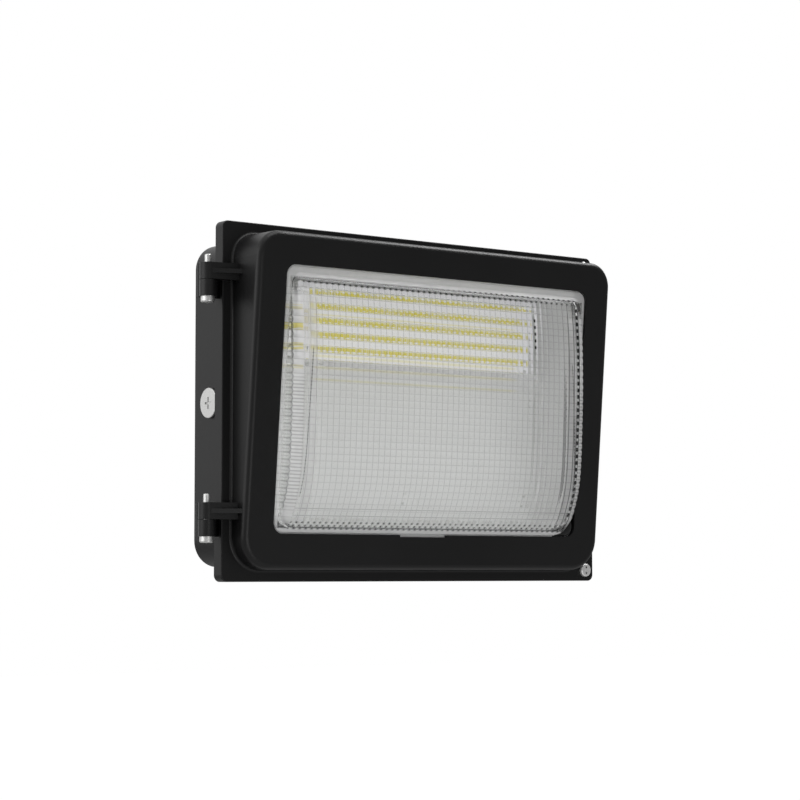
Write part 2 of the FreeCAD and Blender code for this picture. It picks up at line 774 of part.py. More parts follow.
# ---------------------------------------------------------------- captive screws
def captive_screw(side):
    """A door screw with two spanner holes in its low head."""
    seat = Vector(latch_x, door_front, side * latch_z)
    head = rod(latch_head_r, seat, -Y_AXIS, latch_head_h)
    head = fillet_where(head, latch_head_h / 2.5, lambda p, e: p.y < door_front - latch_head_h + 0.01)
    tip = -latch_ear_front + latch_travel
    shank = rod(latch_shank_r, seat, Y_AXIS, tip - door_front)
    holes = [
        rod(spanner_hole_r, seat + Vector(0, -latch_head_h, k * spanner_hole_gap / 2), Y_AXIS, spanner_hole_d)
        for k in (-1, 1)
    ]
    return one(head.fuse(shank).cut(holes))


def captive_washer(side):
    """The nylon washer on the screw's shank that keeps it in the door."""
    start = Vector(latch_x, -latch_ear_front - latch_washer_gap - latch_washer_t, side * latch_z)
    return ring(latch_washer_r, latch_shank_r, start, Y_AXIS, latch_washer_t)


# ---------------------------------------------------------------- gear plate, heat sink and lamps
def gear_plate():
    """The sheet steel plate on the housing's posts that carries the heat sink and the reflector."""
    front = plate_y - plate_t
    plate = slab(plate_width / 2, -plate_height / 2, plate_height / 2, plate_y, front, plate_corner_r)
    cuts = [rod(post_screw_r, Vector(x, plate_y + 1, z), -Y_AXIS, plate_t + 2) for x, z in four(post_x, post_z)]
    cuts.append(rod(grommet_r, Vector(grommet_x, plate_y + 1, board_z), -Y_AXIS, plate_t + 2))
    for x, z in pan_screw_points():
        cuts.append(rod(board_screw_r, Vector(x, plate_y + 1, z), -Y_AXIS, plate_t + 2))
    for x in (-1, 1):
        for z in sink_foot_heights():
            cuts.append(rod(board_screw_r, Vector(x * sink_screw_x(), plate_y + 1, z), -Y_AXIS, plate_t + 2))
    return one(plate.cut(cuts))


def plate_screws():
    """The screws that hold the gear plate to the posts."""
    length = plate_t + post_thread - post_tip_gap
    return group([
        pan_head_screw(Vector(x, plate_y - plate_t, z), Y_AXIS, post_screw_r, screw_head_r, screw_head_t, length)
        for x, z in four(post_x, post_z)
    ])


def sink_screw_x():
    """Distance of the heat sink's foot screws from the middle."""
    return board_width / 2 - sink_screw_in


def sink_ends():
    """Depth and height of the upper and lower edge of the heat sink's front, behind the board."""
    t = math.radians(board_tilt)
    half = board_height / 2 + sink_edge
    ends = []
    for way in (1, -1):
        y = board_y + board_t * math.cos(t) - way * half * math.sin(t)
        z = board_z + board_t * math.sin(t) + way * half * math.cos(t)
        ends.append((y, z))
    return ends


def sink_foot_heights():
    """Heights of the screws in the heat sink's upper and lower foot."""
    (_, z_top), (_, z_low) = sink_ends()
    return [z_top - sink_screw_drop, z_low + sink_screw_rise]


def led_heat_sink():
    """The aluminium section that tilts the board, with fins back to the gear plate."""
    (y_top, z_top), (y_low, z_low) = sink_ends()
    back = plate_y - plate_t
    t = math.radians(board_tilt)
    section = [(y_top, z_top), (y_low, z_low), (back, z_low), (back, z_top)]
    block = along_x(section, -board_width / 2, board_width / 2)
    pitch = (z_top - z_low - sink_leg_t) / (sink_leg_count - 1)
    cuts = []
    for i in range(sink_leg_count - 1):
        z0 = z_low + sink_leg_t + i * pitch
        z1 = z0 + pitch - sink_leg_t
        y0 = y_low - (z0 - z_low) * math.tan(t) + sink_t / math.cos(t)
        y1 = y_low - (z1 - z_low) * math.tan(t) + sink_t / math.cos(t)
        cuts.append(along_x([(y0, z0), (y1, z1), (back - sink_foot_t, z1), (back - sink_foot_t, z0)],
                            -board_width / 2 - 1, board_width / 2 + 1))
    body = block.cut(cuts)
    holes = [rod(board_screw_r, Vector(x * sink_screw_x(), back, z), -Y_AXIS, 2 * sink_foot_t)
             for x in (-1, 1) for z in sink_foot_heights()]
    for x, z in four(board_screw_x, board_screw_z):
        holes.append(on_board(rod(board_screw_r, Vector(x, board_t, z), Y_AXIS, sink_t)))
    return one(body.cut(holes))


def sink_screws():
    """Screws from behind the gear plate into the heat sink's feet."""
    return group([
        pan_head_screw(Vector(x * sink_screw_x(), plate_y, z), -Y_AXIS, board_screw_r, board_head_r, board_head_t,
                       plate_t + sink_screw_grip)
        for x in (-1, 1) for z in sink_foot_heights()
    ])


def led_board():
    """The white aluminium-backed board."""
    half_h = board_height / 2
    board = slab(board_width / 2, -half_h, half_h, 0, board_t, board_corner_r)
    holes = [rod(board_screw_r, Vector(x, -1, z), Y_AXIS, board_t + 2)
             for x, z in four(board_screw_x, board_screw_z)]
    return on_board(board.cut(holes))


def led_chips():
    """The rows of lamps on the board."""
    chips = []
    half_w = chip_width / 2
    half_h = chip_height / 2
    for row in range(chip_rows):
        z = (row - (chip_rows - 1) / 2) * chip_row_pitch
        for column in range(chip_columns):
            x = (column - (chip_columns - 1) / 2) * chip_column_pitch
            chips.append(on_board(box(x - half_w, x + half_w, -chip_t, 0, z - half_h, z + half_h)))
    return group(chips)


def board_screws():
    """The screws that press the board onto the heat sink."""
    return group([
        on_board(pan_head_screw(Vector(x, 0, z), Y_AXIS, board_screw_r, board_head_r, board_head_t, sink_t))
        for x, z in four(board_screw_x, board_screw_z)
    ])


def board_socket():
    """The lead socket at the left edge of the board."""
    x0 = -board_width / 2
    return on_board(box(x0, x0 + socket_width, -socket_depth, 0, -socket_height / 2, socket_height / 2))


# ---------------------------------------------------------------- reflector
def pan_screw_points():
    """Where the reflector is fixed to the gear plate."""
    x = board_width / 2 + pan_back_side - pan_screw_side
    z = window_low + pan_back_low + pan_screw_low
    return [(-x, z), (x, z), (0, z)]


def pan_block(inset, front):
    """A flared block between the gear plate and the back of the glass."""
    back = plate_y - plate_t - inset
    far = window_y - bezel_depth
    share = (back - far) / (back - window_y)
    (_, sink_top), _ = sink_ends()
    at_back = [board_width / 2 + pan_back_side, window_low + pan_back_low, sink_top + pan_back_top]
    at_window = [window_width / 2 - pan_front_side, window_low + pan_front_end, window_top - pan_front_end]
    at_far = [b + (w - b) * share for b, w in zip(at_back, at_window)]
    r = pan_corner_r - inset
    wires = [
        outline(half_w - inset, low + inset, high - inset, y, r, r)
        for y, (half_w, low, high) in ((back, at_back), (far, at_far))
    ]
    beyond = on_bezel(box(-BIG / 2, BIG / 2, -BIG / 2, front, -BIG / 2, BIG / 2))
    return Part.makeLoft(wires, True, True).cut(beyond)


def reflector():
    """The white sheet pan that closes the gear off and throws the light forward."""
    front = lip_back + pan_stand_off
    pan = pan_block(0, front).cut(pan_block(pan_t, front - 1))
    (_, z_top), (_, z_low) = sink_ends()
    back = plate_y - plate_t
    half_w = board_width / 2 + pan_gap
    cuts = [box(-half_w, half_w, back - 2 * pan_t, back + 1, z_low - pan_gap, z_top + pan_gap)]
    cuts.append(rod(grommet_r, Vector(grommet_x, back + 1, board_z), -Y_AXIS, 3 * pan_t))
    for x, z in pan_screw_points():
        cuts.append(rod(board_screw_r, Vector(x, back + 1, z), -Y_AXIS, 3 * pan_t))
    return one(pan.cut(cuts))


def reflector_screws():
    """The screws that hold the reflector to the gear plate."""
    return group([
        pan_head_screw(Vector(x, plate_y - plate_t - pan_t, z), Y_AXIS, board_screw_r, board_head_r, board_head_t,
                       plate_t + pan_t + pan_screw_grip)
        for x, z in pan_screw_points()
    ])


# ---------------------------------------------------------------- driver and wiring
def driver_screw_point(end, depth):
    """The point under one of the driver's mounting tabs."""
    x = driver_x + end * (driver_length / 2 + driver_cap_t + driver_tab / 2)
    return Vector(x, -depth, driver_z)


def driver_block():
    """The space of the driver's case, off the floor by its tabs' thickness."""
    half = driver_length / 2
    return box(driver_x - half, driver_x + half, -box_floor - driver_depth, -box_floor,
               driver_z - driver_height / 2, driver_z + driver_height / 2)


def driver_case():
    """The potted driver's aluminium case."""
    return fillet_where(driver_block(), driver_edge_r,
                        lambda p, e: e.Length > driver_length / 2 and p.y < -box_floor - driver_depth / 2)


def driver_end_caps():
    """The end caps, each with a tab that is screwed to the floor."""
    caps = []
    for end in (-1, 1):
        x0 = driver_x + end * driver_length / 2
        x1 = x0 + end * driver_cap_t
        x2 = x1 + end * driver_tab
        low, high = sorted((x0, x1))
        cap = box(low, high, -box_floor - driver_depth, -box_floor,
                  driver_z - driver_height / 2, driver_z + driver_height / 2)
        low, high = sorted((x1, x2))
        tab = box(low, high, -box_floor - driver_tab_t, -box_floor, driver_z - driver_tab, driver_z + driver_tab)
        point = driver_screw_point(end, box_floor + driver_tab_t + 1)
        caps.append(one(cap.fuse(tab).cut(rod(board_screw_r, point, Y_AXIS, driver_tab_t + 2))))
    return group(caps)


def driver_screws():
    """The screws through the driver's tabs."""
    return group([
        pan_head_screw(driver_screw_point(end, box_floor + driver_tab_t), Y_AXIS, board_screw_r, board_head_r,
                       board_head_t, driver_tab_t + box_floor / 2)
        for end in (-1, 1)
    ])


def lead_y():
    """Depth of the leads where they leave the driver."""
    return -box_floor - driver_depth / 2


def supply_leads():
    """The three mains leads from the driver to their twist-on connectors."""
    leads = []
    x_start = driver_x + driver_length / 2 + driver_cap_t
    for i in (-1, 0, 1):
        z = driver_z - i * lead_spacing
        x = nut_x + i * nut_spacing
        points = [Vector(x_start, lead_y(), z), Vector(x, lead_y(), z), Vector(x, lead_y(), nut_z)]
        leads.append(tube_path(points, supply_lead_r, lead_bend_r - i * lead_bend_step))
    return group(leads)


def wire_connectors():
    """The twist-on connectors on the mains leads."""
    nuts = []
    for i in (-1, 0, 1):
        x = nut_x + i * nut_spacing
        nuts.append(Part.makeCone(nut_r, nut_tip_r, nut_length, Vector(x, lead_y(), nut_z), Z_AXIS))
    return group(nuts)


def lamp_leads():
    """The two leads from the driver through the grommet to the board's socket."""
    leads = []
    t = math.radians(board_tilt)
    x_start = driver_x - driver_length / 2 - driver_cap_t
    x_end = -board_width / 2
    y_end = board_y - socket_depth / 2 * math.cos(t)
    for i in (-1, 1):
        shift = i * lamp_lead_spacing / 2
        z_end = board_z + shift - socket_depth / 2 * math.sin(t)
        y = lead_y()
        points = [
            Vector(x_start, y, driver_z + shift),
            Vector(grommet_x, y, driver_z + shift),
            Vector(grommet_x, y, z_end),
            Vector(grommet_x, y_end, z_end),
            Vector(x_end, y_end, z_end),
        ]
        leads.append(tube_path(points, lamp_lead_r, lamp_lead_bend_r))
    return group(leads)


def lead_grommet():
    """The rubber grommet round the lamp leads, in the gear plate and the reflector."""
    t = math.radians(board_tilt)
    back = plate_y + grommet_flange
    front = plate_y - plate_t - pan_t - grommet_flange
    start = Vector(grommet_x, back, board_z)
    body = rod(grommet_r, start, -Y_AXIS, back - front)
    flanges = [
        rod(grommet_r + grommet_rim, start, -Y_AXIS, grommet_flange),
        rod(grommet_r + grommet_rim, Vector(grommet_x, front, board_z), Y_AXIS, grommet_flange),
    ]
    drop = socket_depth / 2 * math.sin(t)
    holes = [
        rod(lamp_lead_r, Vector(grommet_x, back + 1, board_z + i * lamp_lead_spacing / 2 - drop), -Y_AXIS,
            back - front + 2)
        for i in (-1, 1)
    ]
    return one(body.fuse(flanges).cut(holes))


def ground_screw():
    """The earthing screw on its boss."""
    face = Vector(ground_x, -box_floor - wall_boss_h, ground_z)
    return pan_head_screw(face, Y_AXIS, board_screw_r, screw_head_r, screw_head_t, wall_boss_h)


NODES = {
    "rear_housing": rear_housing,
    "wall_seal": wall_seal,
    "conduit_plugs": conduit_plugs,
    "plug_seals": plug_seals,
    "hinge_pins": hinge_pins,
    "gear_plate": gear_plate,
    "plate_screws": plate_screws,
    "led_heat_sink": led_heat_sink,
    "sink_screws": sink_screws,
    "led_board": led_board,
    "led_chips": led_chips,
    "board_screws": board_screws,
    "board_socket": board_socket,
    "reflector": reflector,
    "reflector_screws": reflector_screws,
    "driver_case": driver_case,
    "driver_end_caps": driver_end_caps,
    "driver_screws": driver_screws,
    "supply_leads": supply_leads,
    "wire_connectors": wire_connectors,
    "lamp_leads": lamp_leads,
    "lead_grommet": lead_grommet,
    "ground_screw": ground_screw,
    "door_frame": door_frame,
    "door_seal": door_seal,
    "glass_refractor": glass_refractor,
    "glass_gasket": glass_gasket,
    "glass_clips": glass_clips,
    "clip_screws": clip_screws,
    "captive_screw_upper": lambda: captive_screw(1),
    "captive_washer_upper": lambda: captive_washer(1),
    "captive_screw_lower": lambda: captive_screw(-1),
    "captive_washer_lower": lambda: captive_washer(-1),
}

os.makedirs("parts", exist_ok=True)
for name, make in NODES.items():
    shape = make()
    shape.exportStep("parts/" + name + ".step")
    print(name, len(shape.Solids), "solids, valid", shape.isValid(), "volume", round(shape.Volume / 1000.0, 2), "cm3")
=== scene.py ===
# %% [markdown]
# # A wall pack light, dressed for the camera
# The solids of the lamp come in as a fixed frame, in metres: X to the right, Y into the wall, Z up. This
# file gives every piece its finish. One solid is plainer than the real thing, the pressed glass, so a new
# surface with all its ribs takes its place.

# %% Load the frame
import math

import bpy
import numpy as np
from mathutils import Matrix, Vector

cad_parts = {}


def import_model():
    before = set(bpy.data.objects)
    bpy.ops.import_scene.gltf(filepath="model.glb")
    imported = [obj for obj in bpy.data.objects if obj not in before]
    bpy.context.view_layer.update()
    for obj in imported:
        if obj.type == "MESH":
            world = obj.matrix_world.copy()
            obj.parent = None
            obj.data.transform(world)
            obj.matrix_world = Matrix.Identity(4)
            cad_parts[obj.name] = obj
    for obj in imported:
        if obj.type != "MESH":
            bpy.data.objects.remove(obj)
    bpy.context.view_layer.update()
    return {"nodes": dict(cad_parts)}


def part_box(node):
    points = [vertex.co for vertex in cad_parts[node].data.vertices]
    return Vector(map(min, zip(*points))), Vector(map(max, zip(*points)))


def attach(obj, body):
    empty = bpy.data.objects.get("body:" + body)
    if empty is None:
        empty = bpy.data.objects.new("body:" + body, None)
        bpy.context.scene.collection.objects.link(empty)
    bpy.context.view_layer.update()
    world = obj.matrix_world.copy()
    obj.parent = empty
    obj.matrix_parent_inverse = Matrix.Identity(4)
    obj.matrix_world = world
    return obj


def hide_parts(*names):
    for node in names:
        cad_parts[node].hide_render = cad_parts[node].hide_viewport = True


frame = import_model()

nodes = frame["nodes"]

# %% [markdown]
# ## The camera
# The camera comes first, since every later choice is judged through it. Its place was solved from the
# straight edges of the door, the window and the box. A pinhole camera needs a place, three angles and a
# focal length. The focal length came out as 2283.5 of the picture's 800 pixels, which is 102.8 mm on a 36
# mm sensor. The lights are placed in the same way as the camera, so both share one helper.

# %% Camera
SENSOR, LENS = 36.0, 102.7586        # in mm
NEAREST, FARTHEST = 0.05, 60.0
CAMERA_PLACE = (-1.069399, -1.478995, -0.126833)
YAW, PITCH, ROLL = (math.radians(angle) for angle in (36.49586, 4.32652, -0.04603))


def stand(name, data, side, up, back, place):
    """A new camera or lamp, turned so that its own X, Y and Z point to the side, up and back."""
    made = bpy.data.objects.new(name, data)
    turned = np.eye(4)
    for column, values in enumerate((side, up, back, place)):
        turned[:3, column] = values
    made.matrix_world = Matrix([list(row) for row in turned])
    bpy.context.scene.collection.objects.link(made)
    return made


camera_data = bpy.data.cameras.new("camera")
camera_data.sensor_width, camera_data.lens = SENSOR, LENS
camera_data.clip_start, camera_data.clip_end = NEAREST, FARTHEST
forward = np.array([math.sin(YAW) * math.cos(PITCH), math.cos(YAW) * math.cos(PITCH), math.sin(PITCH)])
level = np.array([math.cos(YAW), -math.sin(YAW), 0.0])
upright = np.cross(level, forward)
bpy.context.scene.camera = stand(
    "camera", camera_data, math.cos(ROLL) * level + math.sin(ROLL) * upright,
    math.cos(ROLL) * upright - math.sin(ROLL) * level, -forward, CAMERA_PLACE)
print("camera looks along", np.round(forward, 3))

# %% [markdown]
# ## A small language for materials
# A material is a graph of nodes. Written out one link at a time it is hard to read, so two helpers are made
# first: a class that wraps one output and lets `a * b + c` add the Math nodes, and one method that adds any
# other node from its type, its settings and what its sockets get.

# %% Sockets that know arithmetic


class Value:
    """An output socket of a node, on which + - * / and abs() add Math nodes."""

    def __init__(self, graph, socket):
        """Keeps the graph that new nodes go into."""
        self.graph = graph
        self.socket = socket

    def join(self, other, operation, swapped=False):
        """One Math node on this value and another, in either order."""
        pair = (other, self) if swapped else (self, other)
        return self.graph.node("ShaderNodeMath", {"operation": operation}, {0: pair[0], 1: pair[1]})

    def __add__(self, other):
        return self.join(other, "ADD")

    def __sub__(self, other):
        return self.join(other, "SUBTRACT")

    def __rsub__(self, other):
        return self.join(other, "SUBTRACT", True)

    def __mul__(self, other):
        return self.join(other, "MULTIPLY")

    def __truediv__(self, other):
        return self.join(other, "DIVIDE")

    def __abs__(self):
        return self.join(0.0, "ABSOLUTE")

    __radd__ = __add__
    __rmul__ = __mul__


print("sockets can be added and multiplied")

# %% Graphs


class Graph:
    """The nodes of one material or world, from an empty tree to its output."""

    def __init__(self, owner, output="ShaderNodeOutputMaterial"):
        """Empties the tree of a material or a world and adds its output."""
        owner.use_nodes = True
        self.owner = owner
        self.tree = owner.node_tree
        self.tree.nodes.clear()
        self.output = self.tree.nodes.new(output)

    def node(self, kind, settings=None, sockets=None, out=0):
        """Adds a node: its settings first, then a number, colour or link on each named socket."""
        made = self.tree.nodes.new(kind)
        for key, value in (settings or {}).items():
            setattr(made, key, value)
        for key, value in (sockets or {}).items():
            socket = made.inputs[key]
            if isinstance(value, Value):
                self.tree.links.new(value.socket, socket)
            elif isinstance(value, tuple) and len(value) == 3 and socket.type == "RGBA":
                socket.default_value = (*value, 1.0)
            else:
                socket.default_value = value
        return Value(self, made.outputs[out])

    def place(self, scale=(1.0, 1.0, 1.0)):
        """Object coordinates, which are the lamp's own metres, each times a scale."""
        coordinates = self.node("ShaderNodeTexCoord", out="Object")
        return self.node("ShaderNodeMapping", {}, {"Vector": coordinates, "Scale": scale})

    def split(self, vector):
        """The three parts of a vector."""
        parts = self.node("ShaderNodeSeparateXYZ", {}, {0: vector}).socket.node
        return [Value(self, part) for part in parts.outputs]

    def where(self):
        """Object coordinates as three values: x, y and z in metres."""
        return self.split(self.node("ShaderNodeTexCoord", out="Object"))

    def seen(self):
        """1 for a ray from the camera that comes straight or through glass."""
        return (self.node("ShaderNodeLightPath", out="Is Camera Ray")
                + self.node("ShaderNodeLightPath", out="Is Transmission Ray"))

    def noise(self, scale, detail=3.0, roughness=0.55, where=None):
        """Fractal noise with its largest features 1 / scale metres across."""
        return self.node("ShaderNodeTexNoise", {}, {"Vector": where or self.place(), "Scale": scale,
                                                    "Detail": detail, "Roughness": roughness})

    def ramp(self, value, stops):
        """A colour ramp on a value: stops are (position, colour)."""
        made = self.node("ShaderNodeValToRGB", {}, {0: value})
        for element, (position, colour) in zip(made.socket.node.color_ramp.elements, stops):
            element.position = position
            element.color = (*colour, 1.0)
        return made

    def step(self, value, start, end):
        """0 where a value is at its start, 1 at its end, with a smooth step between."""
        return self.node("ShaderNodeMapRange", {"interpolation_type": "SMOOTHSTEP"},
                         {0: value, 1: start, 2: end})

    def valley(self, phase, width):
        """1 at whole numbers, falling to 0 over a width."""
        return self.step(phase.join(0.5, "PINGPONG"), width, 0.0)

    def between(self, value, span):
        """1 inside a span, which is a low end, a high end and the softness of both."""
        low_end, high_end, soft = span
        return (self.step(value, low_end - soft, low_end + soft)
                * self.step(value, high_end + soft, high_end - soft))

    def greatest(self, *values):
        """The greatest of several values."""
        found = values[0]
        for value in values[1:]:
            found = found.join(value, "MAXIMUM")
        return found

    def mix(self, share, first, second):
        """A colour between two, by a value from 0 to 1."""
        return self.node("ShaderNodeMix", {"data_type": "RGBA"}, {0: share, 6: first, 7: second}, out=2)

    def bump(self, height, strength, distance):
        """A Bump node on a height, for the Normal socket."""
        sockets = {"Strength": strength, "Distance": distance, "Height": height}
        return self.node("ShaderNodeBump", {}, sockets)

    def principled(self, **sockets):
        """A Principled shader, with the spaces in its socket names written as underscores."""
        named = {key.replace("_", " "): value for key, value in sockets.items()}
        return self.node("ShaderNodeBsdfPrincipled", {}, named)

    def blend(self, share, first, second):
        """A shader between two, by a value from 0 to 1."""
        return self.node("ShaderNodeMixShader", {}, {0: share, 1: first, 2: second})

    def finish(self, shader):
        """Links the last shader to the output and gives the material or world."""
        self.tree.links.new(shader.socket, self.output.inputs["Surface"])
        return self.owner


def material_graph(name):
    """The empty graph of a new material."""
    return Graph(bpy.data.materials.new(name))


print("graphs can be built")

# %% [markdown]
# ## Black powder coat
# The castings are sprayed with dry powder that melts into a skin about 0.1 mm thick. Close up it has a fine
# grain like orange peel, and it is a little thinner, so a little glossier, on sharp edges. A real one could
# be made with a displaced mesh, but the grain is far below a millimetre, so a bump is enough. Two noises
# are used: a fine one for the grain and a coarse one for the slow change of gloss over a hand's width.

# %% Powder coat


def powder_coat():
    """Black polyester powder: fine grain in the normal, slow variation in colour and gloss."""
    g = material_graph("powder_coat")
    cloud = g.noise(9.0, 2.0)
    grain = g.noise(2600.0, 2.0, 0.6)
    colour = g.ramp(cloud, [(0.3, (0.0048, 0.0048, 0.0050)), (0.7, (0.0070, 0.0070, 0.0072))])
    return g.finish(g.principled(Base_Color=colour, Roughness=0.34 + cloud * 0.06 + grain * 0.06,
                                 Specular_IOR_Level=0.33, Normal=g.bump(grain, 0.10, 0.0001)))


black = powder_coat()
print("made", black.name)

# %% [markdown]
# ## Zinc plate and bare metals
# The plug, the pins and the screws are bright zinc. Turned heads have fine rings, pins have fine lines
# round them. Both come from stretched noise. The colour is nearly white, a little warm, and the roughness
# is what makes it look plated and not like a mirror.

# %% Metals
GRAIN = 0.0002                       # height of the grain in the normal
HOLE_PLACE = 0.0023                  # of a spanner hole above or below the middle
HOLE_EDGE = (0.00095, 0.00080)       # the radii between which its edge fades


def metal(name, colour, rough, stretch=(1.0, 1.0, 1.0), depth=0.04, scale=900.0, tone=0.12):
    """A metal with a brushed grain: noise stretched along one direction varies gloss, tone and normal."""
    g = material_graph(name)
    brushed = g.noise(scale, 3.0, 0.6, g.place(stretch))
    cloud = g.noise(60.0, 3.0)
    darker = tuple(c * (1 - tone) for c in colour)
    return g.finish(g.principled(
        Base_Color=g.mix(cloud, darker, colour), Metallic=1.0, Normal=g.bump(brushed, depth, GRAIN),
        Roughness=rough - 0.05 + brushed * 0.10 + cloud * 0.05))


def drilled_zinc(name, node):
    """Zinc for a door screw: its two spanner holes, above and below its middle, are painted dark inside as
    painted shade.
    """
    g = material_graph(name)
    x, _, z = g.where()
    low_end, high_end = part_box(node)
    x, z = x - (low_end[0] + high_end[0]) / 2, z - (low_end[2] + high_end[2]) / 2
    z = abs(z) - HOLE_PLACE
    # painted shade inside the two spanner holes
    hole = g.step(x * x + z * z, *[radius**2 for radius in HOLE_EDGE])
    rings = g.noise(1500.0, 3.0, 0.6)
    return g.finish(g.principled(
        Base_Color=g.mix(hole, (0.90, 0.90, 0.89), (0.02, 0.02, 0.02)), Metallic=0.6 - hole * 0.6,
        Roughness=0.34 + rings * 0.10, Normal=g.bump(rings, 0.04, GRAIN)))


zinc = metal("bright_zinc", (0.74, 0.74, 0.73), 0.40, (1.0, 1.0, 0.15))
upper_zinc = drilled_zinc("upper_screw_zinc", "captive_screw_upper")
lower_zinc = drilled_zinc("lower_screw_zinc", "captive_screw_lower")
steel = metal("spring_steel", (0.50, 0.50, 0.51), 0.32, (0.2, 1.0, 1.0))
galvanised = metal("galvanised_sheet", (0.60, 0.62, 0.63), 0.42, depth=0.02, scale=120.0, tone=0.3)
aluminium = metal("bare_aluminium", (0.78, 0.79, 0.80), 0.38, (0.05, 1.0, 1.0))
green_metal = metal("green_steel", (0.05, 0.32, 0.10), 0.35)
print("made seven metals")

# %% [markdown]
# ## Plastics, rubber and paint
# Each has its own grain: moulded plastic is nearly smooth with a faint spark-eroded texture, silicone is
# soft and slightly cloudy, enamel on sheet steel has slow waves, and foam has cells.

# %% Plastics, rubber and paint
SPREAD = 0.08                        # share by which a colour varies


def plain(name, colour, rough, scale, depth):
    """A non-metal: colour that varies a little, with a grain of a given size in gloss and normal."""
    g = material_graph(name)
    cloud = g.noise(25.0, 3.0)
    grain = g.noise(scale, 3.0)
    dark = tuple(c * (1 - SPREAD) for c in colour)
    return g.finish(g.principled(Base_Color=g.mix(cloud, dark, colour), Normal=g.bump(grain, depth, GRAIN),
                                 Roughness=rough - 0.04 + grain * 0.08))

enamel = plain("white_enamel", (0.72, 0.72, 0.715), 0.35, 180.0, 0.05)
solder_mask = plain("white_solder_mask", (0.92, 0.91, 0.94), 0.45, 700.0, 0.08)
silicone = plain("grey_silicone", (0.20, 0.20, 0.20), 0.55, 400.0, 0.10)
clear_silicone = plain("clear_silicone", (0.62, 0.62, 0.62), 0.45, 300.0, 0.10)
rubber = plain("black_rubber", (0.018, 0.018, 0.018), 0.60, 1200.0, 0.15)
foam = plain("closed_cell_foam", (0.045, 0.045, 0.047), 0.85, 1500.0, 0.60)
black_plastic = plain("black_plastic", (0.022, 0.022, 0.023), 0.45, 1600.0, 0.15)
nylon = plain("cream_nylon", (0.76, 0.72, 0.60), 0.45, 600.0, 0.08)
orange_plastic = plain("orange_plastic", (0.75, 0.22, 0.03), 0.40, 600.0, 0.08)
white_vinyl = plain("white_insulation", (0.78, 0.78, 0.76), 0.35, 500.0, 0.05)
white_silicone = plain("white_silicone", (0.72, 0.72, 0.70), 0.50, 400.0, 0.08)
white_coat = plain("white_coated_aluminium", (0.80, 0.80, 0.79), 0.40, 900.0, 0.10)
black_vinyl = plain("lead_insulation", (0.03, 0.03, 0.03), 0.35, 500.0, 0.05)
print("made the plastics")

# %% [markdown]
# ## Phosphor
# Each lamp is a pool of clear silicone filled with yellow phosphor in a white frame. The chips are whole
# boxes in the solids, so the pool is painted: the material knows the pitch of the rows and columns, and
# finds from it how far a point is from the middle of its own chip. The yellow has a faint painted glow,
# which stands in for phosphor turning blue light from the sky into yellow.

# %% Phosphor
CHIP_W, CHIP_H, CHIP_COLUMNS, CHIP_ROWS = 0.0056, 0.0030, 34, 5
POOL_W, POOL_H = 0.0048, 0.0024
POOL_EDGE = (0.44, 0.56)             # half way down a valley, where the pool's edge is


def phosphor():
    """A yellow pool 4.8 x 2.4 mm in the white frame of each chip."""
    g = material_graph("phosphor_pools")
    x, _, z = g.where()
    low_end, high_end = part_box("led_chips")
    column = (high_end[0] - low_end[0] - CHIP_W) / (CHIP_COLUMNS - 1)
    row = (high_end[2] - low_end[2] - CHIP_H) / (CHIP_ROWS - 1)
    pool_x = g.valley((x - low_end[0] - CHIP_W / 2) / column, POOL_W / column)
    pool_z = g.valley((z - low_end[2] - CHIP_H / 2) / row, POOL_H / row)
    pool = g.step(pool_x, *POOL_EDGE) * g.step(pool_z, *POOL_EDGE)
    cloud = g.noise(140.0, 1.0)
    yellow = g.mix(cloud, (0.58, 0.50, 0.030), (0.70, 0.62, 0.045))
    # the emission is a painted glow of the yellow pools
    return g.finish(g.principled(
        Base_Color=g.mix(pool, (0.80, 0.80, 0.78), yellow), Roughness=0.35,
        Emission_Color=g.mix(pool, (0.0, 0.0, 0.0), (0.76, 0.66, 0.03)), Emission_Strength=0.09))


phosphor_yellow = phosphor()
print("made", phosphor_yellow.name)

# %% [markdown]
# ## Give each solid its finish
# Most solids have the right shape already, so they only need a better material. A table from node to
# material keeps the choice in one place, and the loop says if a node was forgotten.

# %% Finishes of the solids
FINISH = {
    "rear_housing": black, "door_frame": black, "wall_seal": foam, "conduit_plugs": zinc,
    "plug_seals": rubber, "hinge_pins": zinc, "gear_plate": galvanised, "plate_screws": zinc,
    "led_heat_sink": white_coat, "sink_screws": zinc, "led_board": solder_mask,
    "led_chips": phosphor_yellow, "board_screws": zinc, "board_socket": nylon, "reflector": enamel,
    "reflector_screws": zinc, "driver_case": aluminium, "driver_end_caps": black_plastic,
    "driver_screws": zinc, "supply_leads": black_vinyl, "wire_connectors": orange_plastic,
    "lamp_leads": white_vinyl, "lead_grommet": white_silicone, "ground_screw": green_metal,
    "door_seal": silicone, "glass_gasket": clear_silicone, "glass_clips": steel, "clip_screws": zinc,
    "captive_screw_upper": upper_zinc, "captive_screw_lower": lower_zinc, "captive_washer_upper": nylon,
    "captive_washer_lower": nylon,
}


def dress(thing, material):
    """Puts one material on all of an object's slots."""
    thing.data.materials.clear()
    thing.data.materials.append(material)


for name, material in FINISH.items():
    dress(nodes[name], material)
print("without a finish so far:", sorted(set(nodes) - set(FINISH)))

# %% [markdown]
# ## The glass
# The refractor is pressed borosilicate glass. It has a flat lip that is clamped behind the window, a narrow
# flat rim that shows inside the window, and a bulge about 14 mm high. Fine upright flutes run down its
# outside and level prisms run across its inside, so the light is spread sideways and bent down, and through
# both together one sees a grid. The ribs could be a bump, but a bump doesn't bend the outline and looks
# flat in a side view. So they are real: the whole glass is one closed net of points.
#
# The net is made of two grids, the outer and the inner face of the bulge, and of closed loops of points
# that run from the edge of the outer grid round its shoulder, over the rim and the lip, and back up inside.

